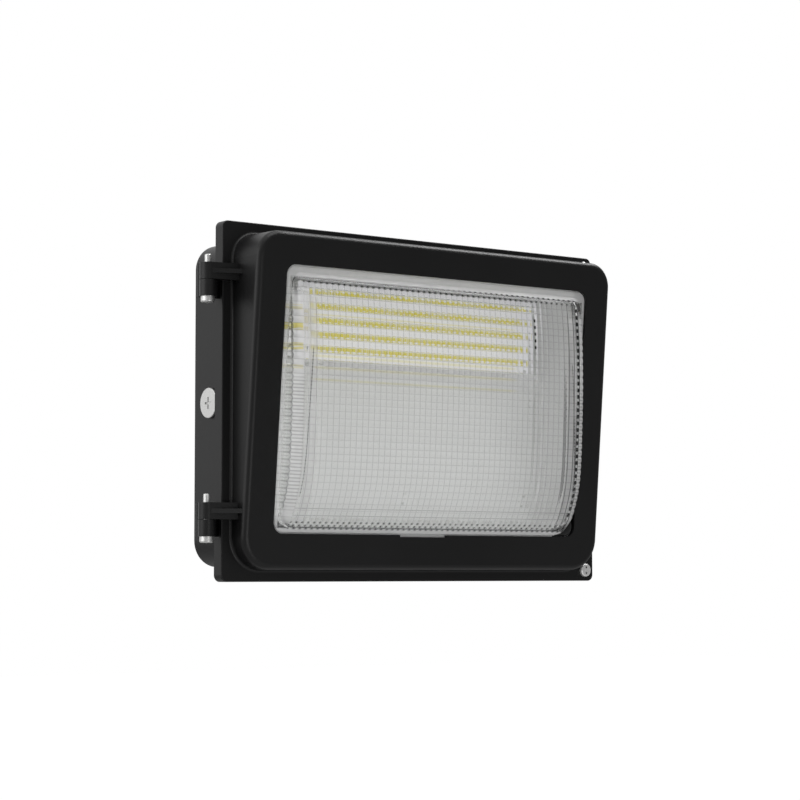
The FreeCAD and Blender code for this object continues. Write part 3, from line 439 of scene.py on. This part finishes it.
# %% Sizes of the glass
TILT = math.radians(5.2)             # the front of the door leans forward
PLANE = -0.08235                     # where that front plane crosses mid height
RISE = 0.0009                        # middle of the window above mid height
WALL = 0.0040
HALF_W = 0.1410                      # half the width of the bulge
LOW, HIGH = -0.0965, 0.0953          # its lower and upper edge
LOW_CORNER, HIGH_CORNER = 0.016, 0.009
SHOULDER = 0.0080                    # radius between its front and its sides
FLAT_W = HALF_W - SHOULDER
FLAT_LOW = LOW + LOW_CORNER          # the straight part of each side
FLAT_HIGH = HIGH - HIGH_CORNER
RIM, RIM_BACK, LIP_BACK = 0.0008, 0.0040, 0.0080     # depths behind the front plane
RIM_W, RIM_H, RIM_CORNER = 0.1444, 0.0984, 0.0070    # half width, half height and corner radius
LIP_W, LIP_H, LIP_CORNER = 0.1534, 0.1074, 0.0140
RIM_ROUND = 0.0004
FOOT = ((0.00005, 0.0006), (0.00015, 0.0002), (0.00045, 0.0))   # out from the wall, up from the rim
FOOT_SHARE = 0.4                     # by which the foot is narrower at the bottom
ACROSS = 200                         # steps across, four to a flute
ARC = 8                              # steps in each corner
UPRIGHT = 125                        # points up each straight side
OUTER_STEPS, INNER_STEPS = 10, 5     # steps round the shoulder
RIB = 4 * 2 * FLAT_W / ACROSS        # pitch of the upright flutes
PRISM = 4 * (FLAT_HIGH - FLAT_LOW) / (UPRIGHT + 1)   # pitch of the level prisms
FLUTE_DEPTH, PRISM_DEPTH, SIDE_DEPTH = 0.00045, 0.00034, 0.00060
# distances from an edge over which the ribs fade in
FLUTE_SIDE, FLUTE_TOP, FLUTE_BOTTOM = (-0.0006, 0.0012), (0.0072, 0.0084), (0.0015, 0.0035)
PRISM_END = (0.0085, 0.0110)
SIDE_IN, SIDE_NEAR, SIDE_FAR = 0.004, 0.001, 0.006
PROFILE_SHARE = np.array([0.0, 0.132, 0.262, 0.3925, 0.549, 0.7055, 0.81, 0.888, 0.9555, 1.0])
PROFILE_Z = (HIGH + (LOW - HIGH) * PROFILE_SHARE)[::-1]
PROFILE_OUT = np.array([-1.2, 4.4, 9.8, 13.4, 14.6, 13.8, 12.2, 10.0, 6.7, 1.5]) / 1000


def smooth_profile(z):
    """Height of the bulge at a height on the plane: a natural cubic spline through the profile's points."""
    x, y = PROFILE_Z, PROFILE_OUT
    n = len(x)
    h = np.diff(x)
    m = np.eye(n)
    rhs = np.zeros(n)
    for i in range(1, n - 1):
        m[i, i - 1:i + 2] = (h[i - 1], 2 * (h[i - 1] + h[i]), h[i])
        rhs[i] = 6 * ((y[i + 1] - y[i]) / h[i] - (y[i] - y[i - 1]) / h[i - 1])
    c = np.linalg.solve(m, rhs)
    k = np.clip(np.searchsorted(x, z) - 1, 0, n - 2)
    a, b = x[k + 1] - z, z - x[k]
    return (c[k] * a**3 + c[k + 1] * b**3) / (6 * h[k]) + (y[k] / h[k] - c[k] * h[k] / 6) * a + (
        y[k + 1] / h[k] - c[k + 1] * h[k] / 6) * b


print("flutes every", round(1000 * RIB, 2), "mm, prisms every", round(1000 * PRISM, 2), "mm, bulge at most",
      round(1000 * smooth_profile(np.linspace(-0.09, 0.09, 99)).max(), 2), "mm high")

# %% Loops of the glass


def side_column(half_w, z_low, z_high, r_low, r_high):
    """One upright side of a round-cornered rectangle, from its lower to its upper edge, as x and z, with
    the outward direction of each point. Quarter circles join the straight side to both edges."""
    a = np.linspace(-math.pi / 2, 0, ARC + 1)
    b = np.linspace(0, math.pi / 2, ARC + 1)
    x = np.concatenate([half_w - r_low + r_low * np.cos(a), np.full(UPRIGHT, half_w),
                        half_w - r_high + r_high * np.cos(b)])
    straight = np.linspace(z_low + r_low, z_high - r_high, UPRIGHT + 2)[1:-1]
    z = np.concatenate([z_low + r_low + r_low * np.sin(a), straight, z_high - r_high + r_high * np.sin(b)])
    out_x = np.concatenate([np.cos(a), np.ones(UPRIGHT), np.cos(b)])
    out_z = np.concatenate([np.sin(a), np.zeros(UPRIGHT), np.sin(b)])
    return x, z, out_x, out_z


def loop(half_w, z_low, z_high, r_low, r_high):
    """The whole rectangle as a closed loop: right side up, top to the left, left side down, bottom to the
    right. Gives x, z and the outward direction, and doesn't repeat the first point."""
    x, z, ox, oz = side_column(half_w, z_low, z_high, r_low, r_high)
    share = np.linspace(1, -1, ACROSS + 1)[1:-1]
    flat = np.zeros(ACROSS - 1)
    parts = [
        (x, z, ox, oz),
        (share * x[-1], flat + z_high, flat, flat + 1),
        (-x[::-1], z[::-1], -ox[::-1], oz[::-1]),
        (-share * x[0], flat + z_low, flat, flat - 1),
    ]
    return [np.concatenate(column) for column in zip(*parts)]


def edge_loop(inset):
    """The loop round the grid of a face that is drawn in by an inset: the inner end of its shoulder."""
    keep = SHOULDER - inset
    return loop(FLAT_W, LOW + inset + keep, HIGH - inset - keep,
                LOW_CORNER - SHOULDER, HIGH_CORNER - SHOULDER)


print("each loop has", len(edge_loop(0.0)[0]), "points")

# %% [markdown]
# A rib between two valleys is a low arc, which a parabola describes: the depth is d (2 t - 1) squared,
# where t runs from 0 to 1 between the valleys. Each rib is sampled four times, with a point in every
# valley, and smooth shading rounds it. On the front the flutes stand upright. On the shoulders and walls at
# the sides the ribs lie level, which is why the outline is scalloped.

# %% Ribs


def fade(distance, start, full):
    """0 up to a distance, 1 beyond another, with a smooth step between."""
    t = np.clip((distance - start) / (full - start), 0, 1)
    return t * t * (3 - 2 * t)


def arch(phase):
    """1 in each valley, at whole numbers, and 0 on top of each rib."""
    t = phase - np.floor(phase)
    return (2 * t - 1) ** 2


def flutes(x, z):
    """Depth of the upright flutes: over the front and down the lower shoulder, but not up the top one."""
    inside = (fade(FLAT_W - np.abs(x), *FLUTE_SIDE) * fade(HIGH - z, *FLUTE_TOP)
              * fade(z - LOW, *FLUTE_BOTTOM))
    return FLUTE_DEPTH * arch(x / RIB) * inside


def side_ribs(x, z):
    """Depth of the level ribs on the shoulders and walls at the sides."""
    ends = (fade(z, FLAT_LOW - SIDE_FAR, FLAT_LOW - SIDE_NEAR)
            * fade(-z, -FLAT_HIGH + SIDE_NEAR, -FLAT_HIGH + SIDE_FAR))
    return SIDE_DEPTH * arch((z - FLAT_LOW) / PRISM) * fade(np.abs(x), FLAT_W, FLAT_W + SIDE_IN) * ends


def prisms(_, z):
    """Depth of the level prisms, which are cut into the inner face and don't change with x."""
    ends = fade(HIGH - z, *PRISM_END) * fade(z - LOW, *PRISM_END)
    return -PRISM_DEPTH * arch((z - FLAT_LOW) / PRISM) * ends


def bulge_grid(inset, ribs):
    """A face of the bulge on a grid: rows follow the side column, points across shrink with it. Depth is
    the inset plus the ribs minus the profile. Gives x, y and z on the leaning plane, one row per height."""
    keep = SHOULDER - inset
    x, z, _, _ = side_column(FLAT_W, LOW + inset + keep, HIGH - inset - keep,
                             LOW_CORNER - SHOULDER, HIGH_CORNER - SHOULDER)
    gx = x[:, None] * np.linspace(-1, 1, ACROSS + 1)[None, :]
    gz = z[:, None] + 0 * gx
    return gx, ribs(gx, gz) - smooth_profile(gz) + inset, gz


outer = bulge_grid(0.0, flutes)
inner = bulge_grid(WALL, prisms)
print("outer face", outer[0].shape, "inner face", inner[0].shape)

# %% Join the faces of the glass


def soft_min(a, b, blend=0.0004):
    """The lesser of two depths, with a round corner where they cross: minus k log(e^(-a/k) + e^(-b/k))."""
    return -blend * np.logaddexp(-a / blend, -b / blend)


def shoulder_loops(inset, steps, carve):
    """Loops round a shoulder of radius r: at each angle the offset is r sin(angle), the depth drops by
    r (1 - cos(angle)), and the ribs are cut inwards along the normal. The lower edge has no shoulder: there
    the profile itself runs down to the rim. No point goes behind the rim."""
    radius = SHOULDER - inset
    x, z, ox, oz = edge_loop(inset)
    below = np.clip(-oz, 0, 1)
    loops = []
    for angle in np.linspace(0, math.pi / 2, steps + 1)[1:]:
        s, c = math.sin(angle), math.cos(angle)
        cut = carve(x + radius * s * ox, z + radius * s * oz)
        offset = (radius - cut) * s
        y = inset - smooth_profile(z - below * radius * s) + radius * (1 - c) * (1 - below**2) + cut * c
        if inset == 0:
            y = soft_min(y, RIM)
        loops.append(np.stack([x + offset * ox, y, z + offset * oz], 1))
    return loops


def foot_loops(last):
    """Three loops that take the straight walls down to the rim with a small hollow corner."""
    _, _, ox, oz = edge_loop(0.0)
    loops = []
    for grow, above in FOOT:
        step = grow * (1 - FOOT_SHARE * np.clip(-oz, 0, 1))
        y = np.maximum(np.minimum(last[:, 1] + above, RIM), RIM - above)
        loops.append(np.stack([last[:, 0] + step * ox, y, last[:, 2] + step * oz], 1))
    return loops


def flat_loop(half_w, z_low, z_high, r, y):
    """A loop of a flat rim or lip at one depth."""
    x, z, _, _ = loop(half_w, z_low, z_high, r, r)
    return np.stack([x, np.full_like(x, y), z], 1)


def outer_ribs(x, z):
    """Everything that is cut into the outer face."""
    return flutes(x, z) + side_ribs(x, z)


loops = shoulder_loops(0.0, OUTER_STEPS, outer_ribs)
loops += foot_loops(loops[-1])
for y, half_w, half_h, r in (
        (RIM, RIM_W - RIM_ROUND, RIM_H - RIM_ROUND, RIM_CORNER),
        (RIM + RIM_ROUND, RIM_W, RIM_H, RIM_CORNER),
        (RIM_BACK, RIM_W, RIM_H, RIM_CORNER),
        (RIM_BACK, LIP_W, LIP_H, LIP_CORNER),
        (LIP_BACK, LIP_W, LIP_H, LIP_CORNER)):
    loops.append(flat_loop(half_w, RISE - half_h, RISE + half_h, r, y))
outside_loops = len(loops)
inside = shoulder_loops(WALL, INNER_STEPS, lambda x, z: 0 * x)
loops.append(inside[-1] * (1, 0, 1) + (0, LIP_BACK, 0))
loops += inside[::-1]
print("loops between the two faces:", len(loops))


def grid_index(rows, columns, first):
    """Numbers of a grid's points, row by row."""
    return first + np.arange(rows * columns).reshape(rows, columns)


def edge_index(index):
    """Numbers of a grid's edge points in the loops' order."""
    return np.concatenate([index[:, -1], index[-1, -2:0:-1], index[::-1, 0], index[0, 1:-1]])


def quads(index):
    """The four corner numbers of each face of a grid, seen with x to the right and z up from the front."""
    return np.stack([index[:-1, :-1], index[:-1, 1:], index[1:, 1:], index[1:, :-1]], -1).reshape(-1, 4)


print("faces are numbered from the front, x to the right and z up")

# %% Make the glass
rows, columns = outer[0].shape
points = [np.stack(outer, -1).reshape(-1, 3), np.stack(inner, -1).reshape(-1, 3)]
outer_index = grid_index(rows, columns, 0)
inner_index = grid_index(rows, columns, rows * columns)
first = 2 * rows * columns
chain = [edge_index(outer_index)]
for one_loop in loops:
    count = len(one_loop)
    chain.append(np.arange(first, first + count))
    points.append(one_loop)
    first += count
chain.append(edge_index(inner_index))
faces = [quads(outer_index), quads(inner_index)[:, ::-1]]
for near, far in zip(chain, chain[1:]):
    faces.append(np.stack([np.roll(near, -1), near, far, np.roll(far, -1)], -1))
points = np.concatenate(points)
faces = np.concatenate(faces)
leaning = points.copy()
leaning[:, 1] = points[:, 1] * math.cos(TILT) - points[:, 2] * math.sin(TILT) + PLANE
leaning[:, 2] = points[:, 1] * math.sin(TILT) + points[:, 2] * math.cos(TILT)
on_outside = np.zeros(len(points))
on_outside[:rows * columns] = 1
on_outside[chain[1][0]:chain[outside_loops][-1] + 1] = 1


def mesh_object(name, vertices, polygons, smooth=True):
    """A new object from arrays of points and of faces, at the origin."""
    mesh = bpy.data.meshes.new(name)
    mesh.from_pydata(vertices, [], polygons.tolist())
    mesh.update()
    mesh.polygons.foreach_set("use_smooth", np.full(len(mesh.polygons), smooth))
    made = bpy.data.objects.new(name, mesh)
    bpy.context.scene.collection.objects.link(made)
    return made


def signed_volume(vertices, polygons):
    """Six times the volume inside a closed net, positive when its faces point outwards."""
    a, b, c, d = (vertices[polygons[:, i]] for i in range(4))
    return (np.einsum("ij,ij->i", a, np.cross(b, c)) + np.einsum("ij,ij->i", a, np.cross(c, d))).sum()


if signed_volume(leaning, faces) < 0:
    faces = faces[:, ::-1]
glass = mesh_object("ribbed_glass", leaning, faces)
moulding = glass.data.attributes.new("moulding", "FLOAT_VECTOR", "POINT")
moulding.data.foreach_set("vector", np.stack([points[:, 0], points[:, 2], on_outside], 1).ravel())
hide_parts("glass_refractor")
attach(glass, "door")
print("glass:", len(leaning), "points,", 2 * len(faces), "triangles, volume",
      round(signed_volume(leaning, faces) / 6 * 1e6, 1), "cm3")

# %% [markdown]
# ## Glass as a material
# Clear glass bends what is behind it. Cycles doesn't send lamp light through a bending surface on its way
# to a lamp, so the inside would be black. The usual cure is to let shadow rays pass straight through: a mix
# with a Transparent shader, worked by the Light Path node.
#
# The net is too coarse for the sharp bottom of each valley, where pressed glass looks darkest because of
# how it bends the light. Those thin lines come from a second source: each point of the net carries its
# place on the mould, and the material finds the nearest valley from it. There painted shade darkens the
# glass and its normal turns. Where a flute runs out on the shoulder a bump makes a round dimple, and painted
# shade shows it as a row of dark dots. Steep facets show a painted yellow gleam of the lamps behind another
# prism, and a milky layer paints light on the rim, the shoulders, the lowest edge and below the board.
#
# Every mark is a product of spans. A span is a low end, a high end and the softness of both, in metres, and
# it is 1 inside and 0 outside. A mark has a span sideways, of x or of the distance from the middle, a span
# upright, of z on the mould, and a strength.

# %% Places on the mould
FRONT = (-1.0, FLAT_W, 0.0008)       # of the distance from the middle
# Marks of painted shade, except glow, a painted yellow glow, and gleam_line, a line of painted light in the
# milky layer.
MARKS = {                            # span sideways, span upright, strength
    "ladder": ((0.1322, 0.1412, 0.0010), (-0.0780, 0.0180, 0.0060), 0.45),
    "leaning_shade": ((0.1300, 0.1309, 0.0003), (-0.0700, 0.0400, 0.0030), 1.0),
    "foot": ((0.1402, 0.1406, 0.0002), (-0.0800, 0.0660, 0.0020), 0.60),
    "dashes": ((0.1303, 0.1331, 0.0004), (-0.0840, 0.0860, 0.0010), 1.0),
    "shade_specks": ((0.0864, 0.0882, 0.0004), (0.0480, 0.0760, 0.0010), 1.0),
    "glow": ((-0.1300, 0.0700, 0.0060), (0.0300, 0.0820, 0.0040), 0.06),
    "gleam_line": ((-0.1200, 0.0900, 0.0060), (0.0786, 0.0795, 0.0004), 0.85),
}


class GlassGraph(Graph):
    """A graph that finds each point's place on the mould from the net's own attribute."""

    def __init__(self, name):
        """Starts with the point's x, z and distance from the middle, also counted in flutes and prisms."""
        super().__init__(bpy.data.materials.new(name))
        on_mould = self.node("ShaderNodeAttribute", {"attribute_name": "moulding"}, out="Vector")
        self.x, self.z, self.outside = self.split(on_mould)
        self.away = abs(self.x)
        self.front = self.between(self.away, FRONT)
        self.flute = self.x / RIB
        self.prism = (self.z - FLAT_LOW) / PRISM

    def mark(self, name, sideways):
        """A mark of the table, where sideways is x or the distance from the middle."""
        across, upright, strength = MARKS[name]
        return self.between(sideways, across) * self.between(self.z, upright) * strength

    def bands(self, value, table):
        """The greatest of several bands, each a span of the value and a strength."""
        return self.greatest(*[self.between(value, span) * strength for span, strength in table])


def around(middle, half, soft):
    """The span that reaches half a width to each side of its middle."""
    return middle - half, middle + half, soft


print("marks on the glass:", ", ".join(MARKS))

# %% Marks of painted shade
FLUTE_LINE, FLUTE_SPAN, FLUTE_DARK = 0.14, (-0.0940, 0.0878, 0.0006), 0.36   # width in flutes, span of z
RIGHT_DARK, RIGHT_X = 0.50, (0.112, 0.124)                   # painted shade on the flutes is darker at the right
PRISM_LINE, PRISM_SPAN, PRISM_DARK = 0.12, (-0.0860, 0.0850, 0.0010), 0.26
LOW_LINES = (((-0.0793, -0.0787, 0.0004), 0.60), ((-0.0847, -0.0841, 0.0004), 0.60))
HALF_LINE, STEP_LINE = 0.34, 0.50                            # widths in half prisms and in prisms
DASH_EDGE, SPECK_EDGE = (0.22, 0.44), (0.35, 0.70)
SHADE_LEAN_Z, SHADE_LEAN_SLOPE, SHADE_LEAN_DARK = 0.050, 0.055, 0.60           # the painted shade line leans
DIMPLES = ((0.0882, 0.0), (-0.0897, 0.0), (-0.0921, 0.35), (-0.0942, 0.0))   # height, shift in flutes
DIMPLE_WIDE, DIMPLE_HALF, DIMPLE_SOFT = 0.42, 0.0008, 0.0005
UPPER_WIDE, UPPER_SPAN, UPPER_X = 0.40, (0.0907, 0.0921, DIMPLE_SOFT), (-0.0300, 0.0600)
CORNER_FADE, CORNER_START = 0.0008, 0.001
FLUTE_RELIEF, PRISM_RELIEF = 2.0, 3.0                        # how deep a line turns the normal


def painted_corner_shade(g):
    """Painted shade: 1 beyond the round of the lower right corner, where the door shows dark through the
    rim.
    """
    x, z = g.x - (HALF_W - LOW_CORNER), g.z - FLAT_LOW
    beyond = g.step(x * x + z * z, LOW_CORNER**2, (LOW_CORNER + CORNER_FADE)**2)
    return beyond * g.step(x, 0.0, CORNER_START) * g.step(z, 0.0, -CORNER_START)


def painted_dimple_shade(g):
    """Painted shade in rows of round dots where the flutes run out, and in a weaker row above them towards
    the right.
    """
    dimples = g.valley(g.flute + 0.5, UPPER_WIDE) * g.between(g.z, UPPER_SPAN) * g.step(g.x, *UPPER_X)
    for height, shift in DIMPLES:
        row = g.between(g.z, around(height, DIMPLE_HALF, DIMPLE_SOFT))
        dimples = g.greatest(dimples, g.valley(g.flute + shift, DIMPLE_WIDE) * row)
    return dimples * g.front


def painted_shade_marks(g, corner):
    """How much painted shade each point has, and the relief that turns its normal."""
    # painted shade along the valleys, where the glass looks dark by bending the light
    flute_shade_lines = g.valley(g.flute, FLUTE_LINE) * g.front * g.between(g.z, FLUTE_SPAN)
    flute_shade_lines = flute_shade_lines * (FLUTE_DARK + RIGHT_DARK * g.step(g.x, *RIGHT_X))
    prism_shade_lines = g.valley(g.prism, PRISM_LINE) * g.between(g.z, PRISM_SPAN) * PRISM_DARK
    half_steps = g.valley(g.prism * 2.0, HALF_LINE)
    ladder = half_steps * g.mark("ladder", g.away)
    leaning_shade_band = g.mark("leaning_shade", g.away + (g.z + SHADE_LEAN_Z) * SHADE_LEAN_SLOPE)
    leaning_shade = leaning_shade_band * (SHADE_LEAN_DARK + half_steps * (1 - SHADE_LEAN_DARK))
    steps = g.valley(g.prism, STEP_LINE)
    dashes = g.step(steps, *DASH_EDGE) * g.mark("dashes", g.x)
    shade_specks = g.step(steps, *SPECK_EDGE) * g.mark("shade_specks", g.x)
    dimples = painted_dimple_shade(g)
    dark = g.greatest(flute_shade_lines, prism_shade_lines, g.bands(g.z, LOW_LINES) * g.front, ladder, leaning_shade,
                      g.mark("foot", g.away), dashes, shade_specks, dimples, corner) * g.outside
    relief = 1.0 - g.greatest(flute_shade_lines * FLUTE_RELIEF, prism_shade_lines * PRISM_RELIEF, ladder, dimples)
    return dark, relief


print("flute lines are", round(1000 * FLUTE_LINE * RIB, 2), "mm wide,", 1 + len(DIMPLES), "rows of dimples")

# %% Painted yellow gleams and the milky share of painted light
# Painted yellow light: level gleams of the lamps seen through steep facets, and streaky patches of them on
# the left wall.
GLEAMS = [(around(height, half, 0.0005), strength) for height, half, strength in (
    (0.0643, 0.0006, 0.90), (0.0338, 0.0009, 0.75), (0.0252, 0.0009, 0.60), (0.0165, 0.0007, 0.65))]
GLEAMS_X = (-0.1240, 0.0660, 0.0060)
PAINTED_PATCHES = [(around(height, half, 0.0006), strength) for height, half, strength in (
    (0.0690, 0.0018, 0.45), (0.0545, 0.0026, 0.95), (0.0400, 0.0026, 0.80), (0.0250, 0.0014, 0.45))]
PAINTED_PATCHES_X, STREAKS = (-0.2, -0.1345, 0.0006), (90.0, 90.0, 900.0)
# The milky layer paints light on the rim, the shoulders, the lowest edge and below and beside the board.
EDGE_X, EDGE_Z, EDGE_MILK = (0.1412, 0.1418), (0.0895, 0.0925), 0.52
BELOW_BOARD = (((0.0262, 0.0300, 0.0012), 0.40), ((0.0170, 0.0300, 0.0040), 0.26))
BOARD_X, BESIDE_BOARD = (-0.1200, 0.0900, 0.0060), (((0.0900, 0.1215, 0.0040), 0.26),)
SHOULDERS = (((0.1215, 0.1300, 0.0015), 0.46), ((0.1335, 0.1402, 0.0002), 0.72))
SHOULDER_Z = (-0.0900, 0.0800, 0.0060)
LOWEST, LOWEST_MILK = (-0.0938, -0.0948), 0.85


def painted_yellow_gleams(g):
    """How much painted yellow light each point has: level gleams, streaky patches on the left wall and a
    faint glow.
    """
    gleams = g.bands(g.z, GLEAMS) * g.between(g.x, GLEAMS_X) * (0.55 + 0.45 * g.noise(420.0, 1.0))
    streaks = g.step(g.noise(1.0, 2.0, 0.5, g.place(STREAKS)), 0.25, 0.60)
    patches = g.bands(g.z, PAINTED_PATCHES) * g.between(g.x, PAINTED_PATCHES_X) * streaks
    return g.greatest(gleams, patches, g.mark("glow", g.x)) * g.outside


def milky_painted_light(g, corner):
    """How much milky painted light each point has: most at the rim, the shoulders and the lowest edge."""
    edge = g.greatest(g.step(g.away, *EDGE_X), g.step(g.z, *EDGE_Z)) * EDGE_MILK
    painted_fill = g.greatest(g.bands(g.z, BELOW_BOARD) * g.between(g.x, BOARD_X), g.bands(g.x, BESIDE_BOARD))
    shoulder = g.bands(g.away, SHOULDERS) * g.between(g.z, SHOULDER_Z)
    lowest = g.step(g.z, *LOWEST) * LOWEST_MILK
    ground = g.greatest(edge, painted_fill, shoulder, lowest, g.mark("gleam_line", g.x)) * g.outside
    return ground * (0.85 + 0.15 * g.noise(160.0, 3.0)) * (1.0 - corner)


print("gleams at", [round(500 * (span[0] + span[1]), 1) for span, _ in GLEAMS], "mm above mid height")

# %% Glass material
# CLEAR is the glass itself; the yellow is painted lamp light, the black painted shade, and the pale colours
# belong to the milky layer of painted light.
CLEAR, PAINTED_GLEAM_YELLOW, PAINTED_SHADE_BLACK = (0.955, 0.96, 0.955), (0.86, 0.78, 0.16), (0.001, 0.001, 0.001)
PALE, PALE_PAINTED_GLEAM, PALE_PAINTED_SHADE = (0.88, 0.88, 0.88), (0.80, 0.70, 0.12), (0.01, 0.01, 0.01)
GLASS_INDEX, MILK_ROUGH = 1.47, 0.45
LINE_TURN, LINE_DEPTH = 0.30, 0.0003                 # strength of the relief, and its depth in metres
SHADOW_TINT = (0.90, 0.91, 0.91)


def clear_glass():
    """Clear borosilicate with painted shade in thin valleys and dots at the flutes' ends, painted yellow
    gleams and milky painted light, and open to shadow rays.
    """
    g = GlassGraph("prismatic_glass")
    corner = painted_corner_shade(g)
    dark, relief = painted_shade_marks(g, corner)
    yellow = painted_yellow_gleams(g)
    normal = g.bump(relief, LINE_TURN, LINE_DEPTH)
    glassy = g.principled(Base_Color=g.mix(dark, g.mix(yellow, CLEAR, PAINTED_GLEAM_YELLOW), PAINTED_SHADE_BLACK), IOR=GLASS_INDEX,
                          Roughness=0.02 + g.noise(35.0, 3.0) * 0.02, Transmission_Weight=1.0, Normal=normal)
    # the milky layer, which paints light where the glass would look dark
    milky = g.principled(Base_Color=g.mix(dark, g.mix(yellow, PALE, PALE_PAINTED_GLEAM), PALE_PAINTED_SHADE),
                         Roughness=MILK_ROUGH, Normal=normal)
    shader = g.blend(milky_painted_light(g, corner), glassy, milky)
    clear = g.node("ShaderNodeBsdfTransparent", {}, {"Color": SHADOW_TINT})
    return g.finish(g.blend(g.node("ShaderNodeLightPath", out="Is Shadow Ray"), shader, clear))


dress(glass, clear_glass())
print("dressed the glass")

# %% [markdown]
# ## Room and light
# The real photograph is a cut-out on white. The backdrop is white only to rays that come from the camera, a
# mirror or glass. Light on the object comes from a soft sky that is bright behind and to the left and dim
# in front, plus soft boxes, because a black object is drawn by what it reflects.

# %% World
SKY_SIDE, SKY_BACK, SKY_UP = 0.45, 0.55, 0.25        # how much left, back and up count as behind
SKY_START, SKY_END, SKY_DIM, SKY_BRIGHT = -0.45, 0.45, 0.19, 0.90


def world():
    """White to the camera, and to everything else a sky that is dim in front and bright behind and left."""
    g = Graph(bpy.data.worlds.new("studio"), "ShaderNodeOutputWorld")
    bpy.context.scene.world = g.owner
    x, y, z = g.split(g.node("ShaderNodeTexCoord", out="Generated"))
    behind = y * SKY_BACK - x * SKY_SIDE + z * SKY_UP
    sockets = {0: behind, 1: SKY_START, 2: SKY_END, 3: SKY_DIM, 4: SKY_BRIGHT}
    level = g.node("ShaderNodeMapRange", {}, sockets)
    strength = g.greatest(g.seen(), level).join(1.0, "MINIMUM")
    g.finish(g.node("ShaderNodeBackground", {}, {"Color": (1.0, 1.0, 1.0), "Strength": strength}))


world()
print("world made")

# %% Floor
FLOOR_Z, FLOOR_HALF = -0.80, 12.0
FLOOR_GREY, FLOOR_GLOW, FLOOR_WHITE = (0.45, 0.45, 0.45), 1.10, 0.90


def floor():
    """A pale sheet under the lamp that is white to the camera and still takes a shadow."""
    corners = [(x * FLOOR_HALF, y * FLOOR_HALF, FLOOR_Z) for x, y in ((-1, -1), (1, -1), (1, 1), (-1, 1))]
    sheet = mesh_object("floor", np.array(corners), np.array([[0, 1, 2, 3]]), False)
    g = material_graph("pale_floor")
    diffuse = g.node("ShaderNodeBsdfDiffuse", {}, {"Color": FLOOR_GREY})
    bright = g.node("ShaderNodeEmission", {}, {"Color": (1.0, 1.0, 1.0), "Strength": FLOOR_GLOW})
    dress(sheet, g.finish(g.blend(g.seen() * FLOOR_WHITE, diffuse, bright)))


floor()
print("floor made")

# %% [markdown]
# Four soft boxes draw the black shape. One above lights the top edges and the inside of the box, one high
# at the right draws the thin line on the upper edge of the bezel, one at the left lights the side wall with
# the plug, and one low in front keeps the front of the bezel from going black.

# %% Lights
LIGHTS = {                           # place, aim, size and power
    "top_box": ((0.0, -0.6, 1.8), (0, -0.05, 0), 1.2, 11.0),
    "edge_box": ((1.10, -0.10, 1.46), (0, -0.05, 0), 0.7, 14.0),
    "left_box": ((-2.0, 0.2, 0.4), (-0.1, -0.03, 0), 1.4, 9.0),
    "front_box": ((-0.2, -1.7, -0.45), (0, -0.05, 0), 0.6, 3.7),
}


def soft_box(name, place, aim, size, power):
    """A square area lamp that looks at a point."""
    data = bpy.data.lights.new(name, "AREA")
    data.shape = "SQUARE"
    data.size = size
    data.energy = power
    back = np.array(place, float) - np.array(aim, float)
    back /= np.linalg.norm(back)
    side = np.cross((0, 0, 1), back)
    side /= np.linalg.norm(side)
    stand(name, data, side, np.cross(back, side), back, place)


for name, settings in LIGHTS.items():
    soft_box(name, *settings)
bpy.context.scene.view_settings.view_transform = "Standard"
print(len(LIGHTS), "soft boxes")
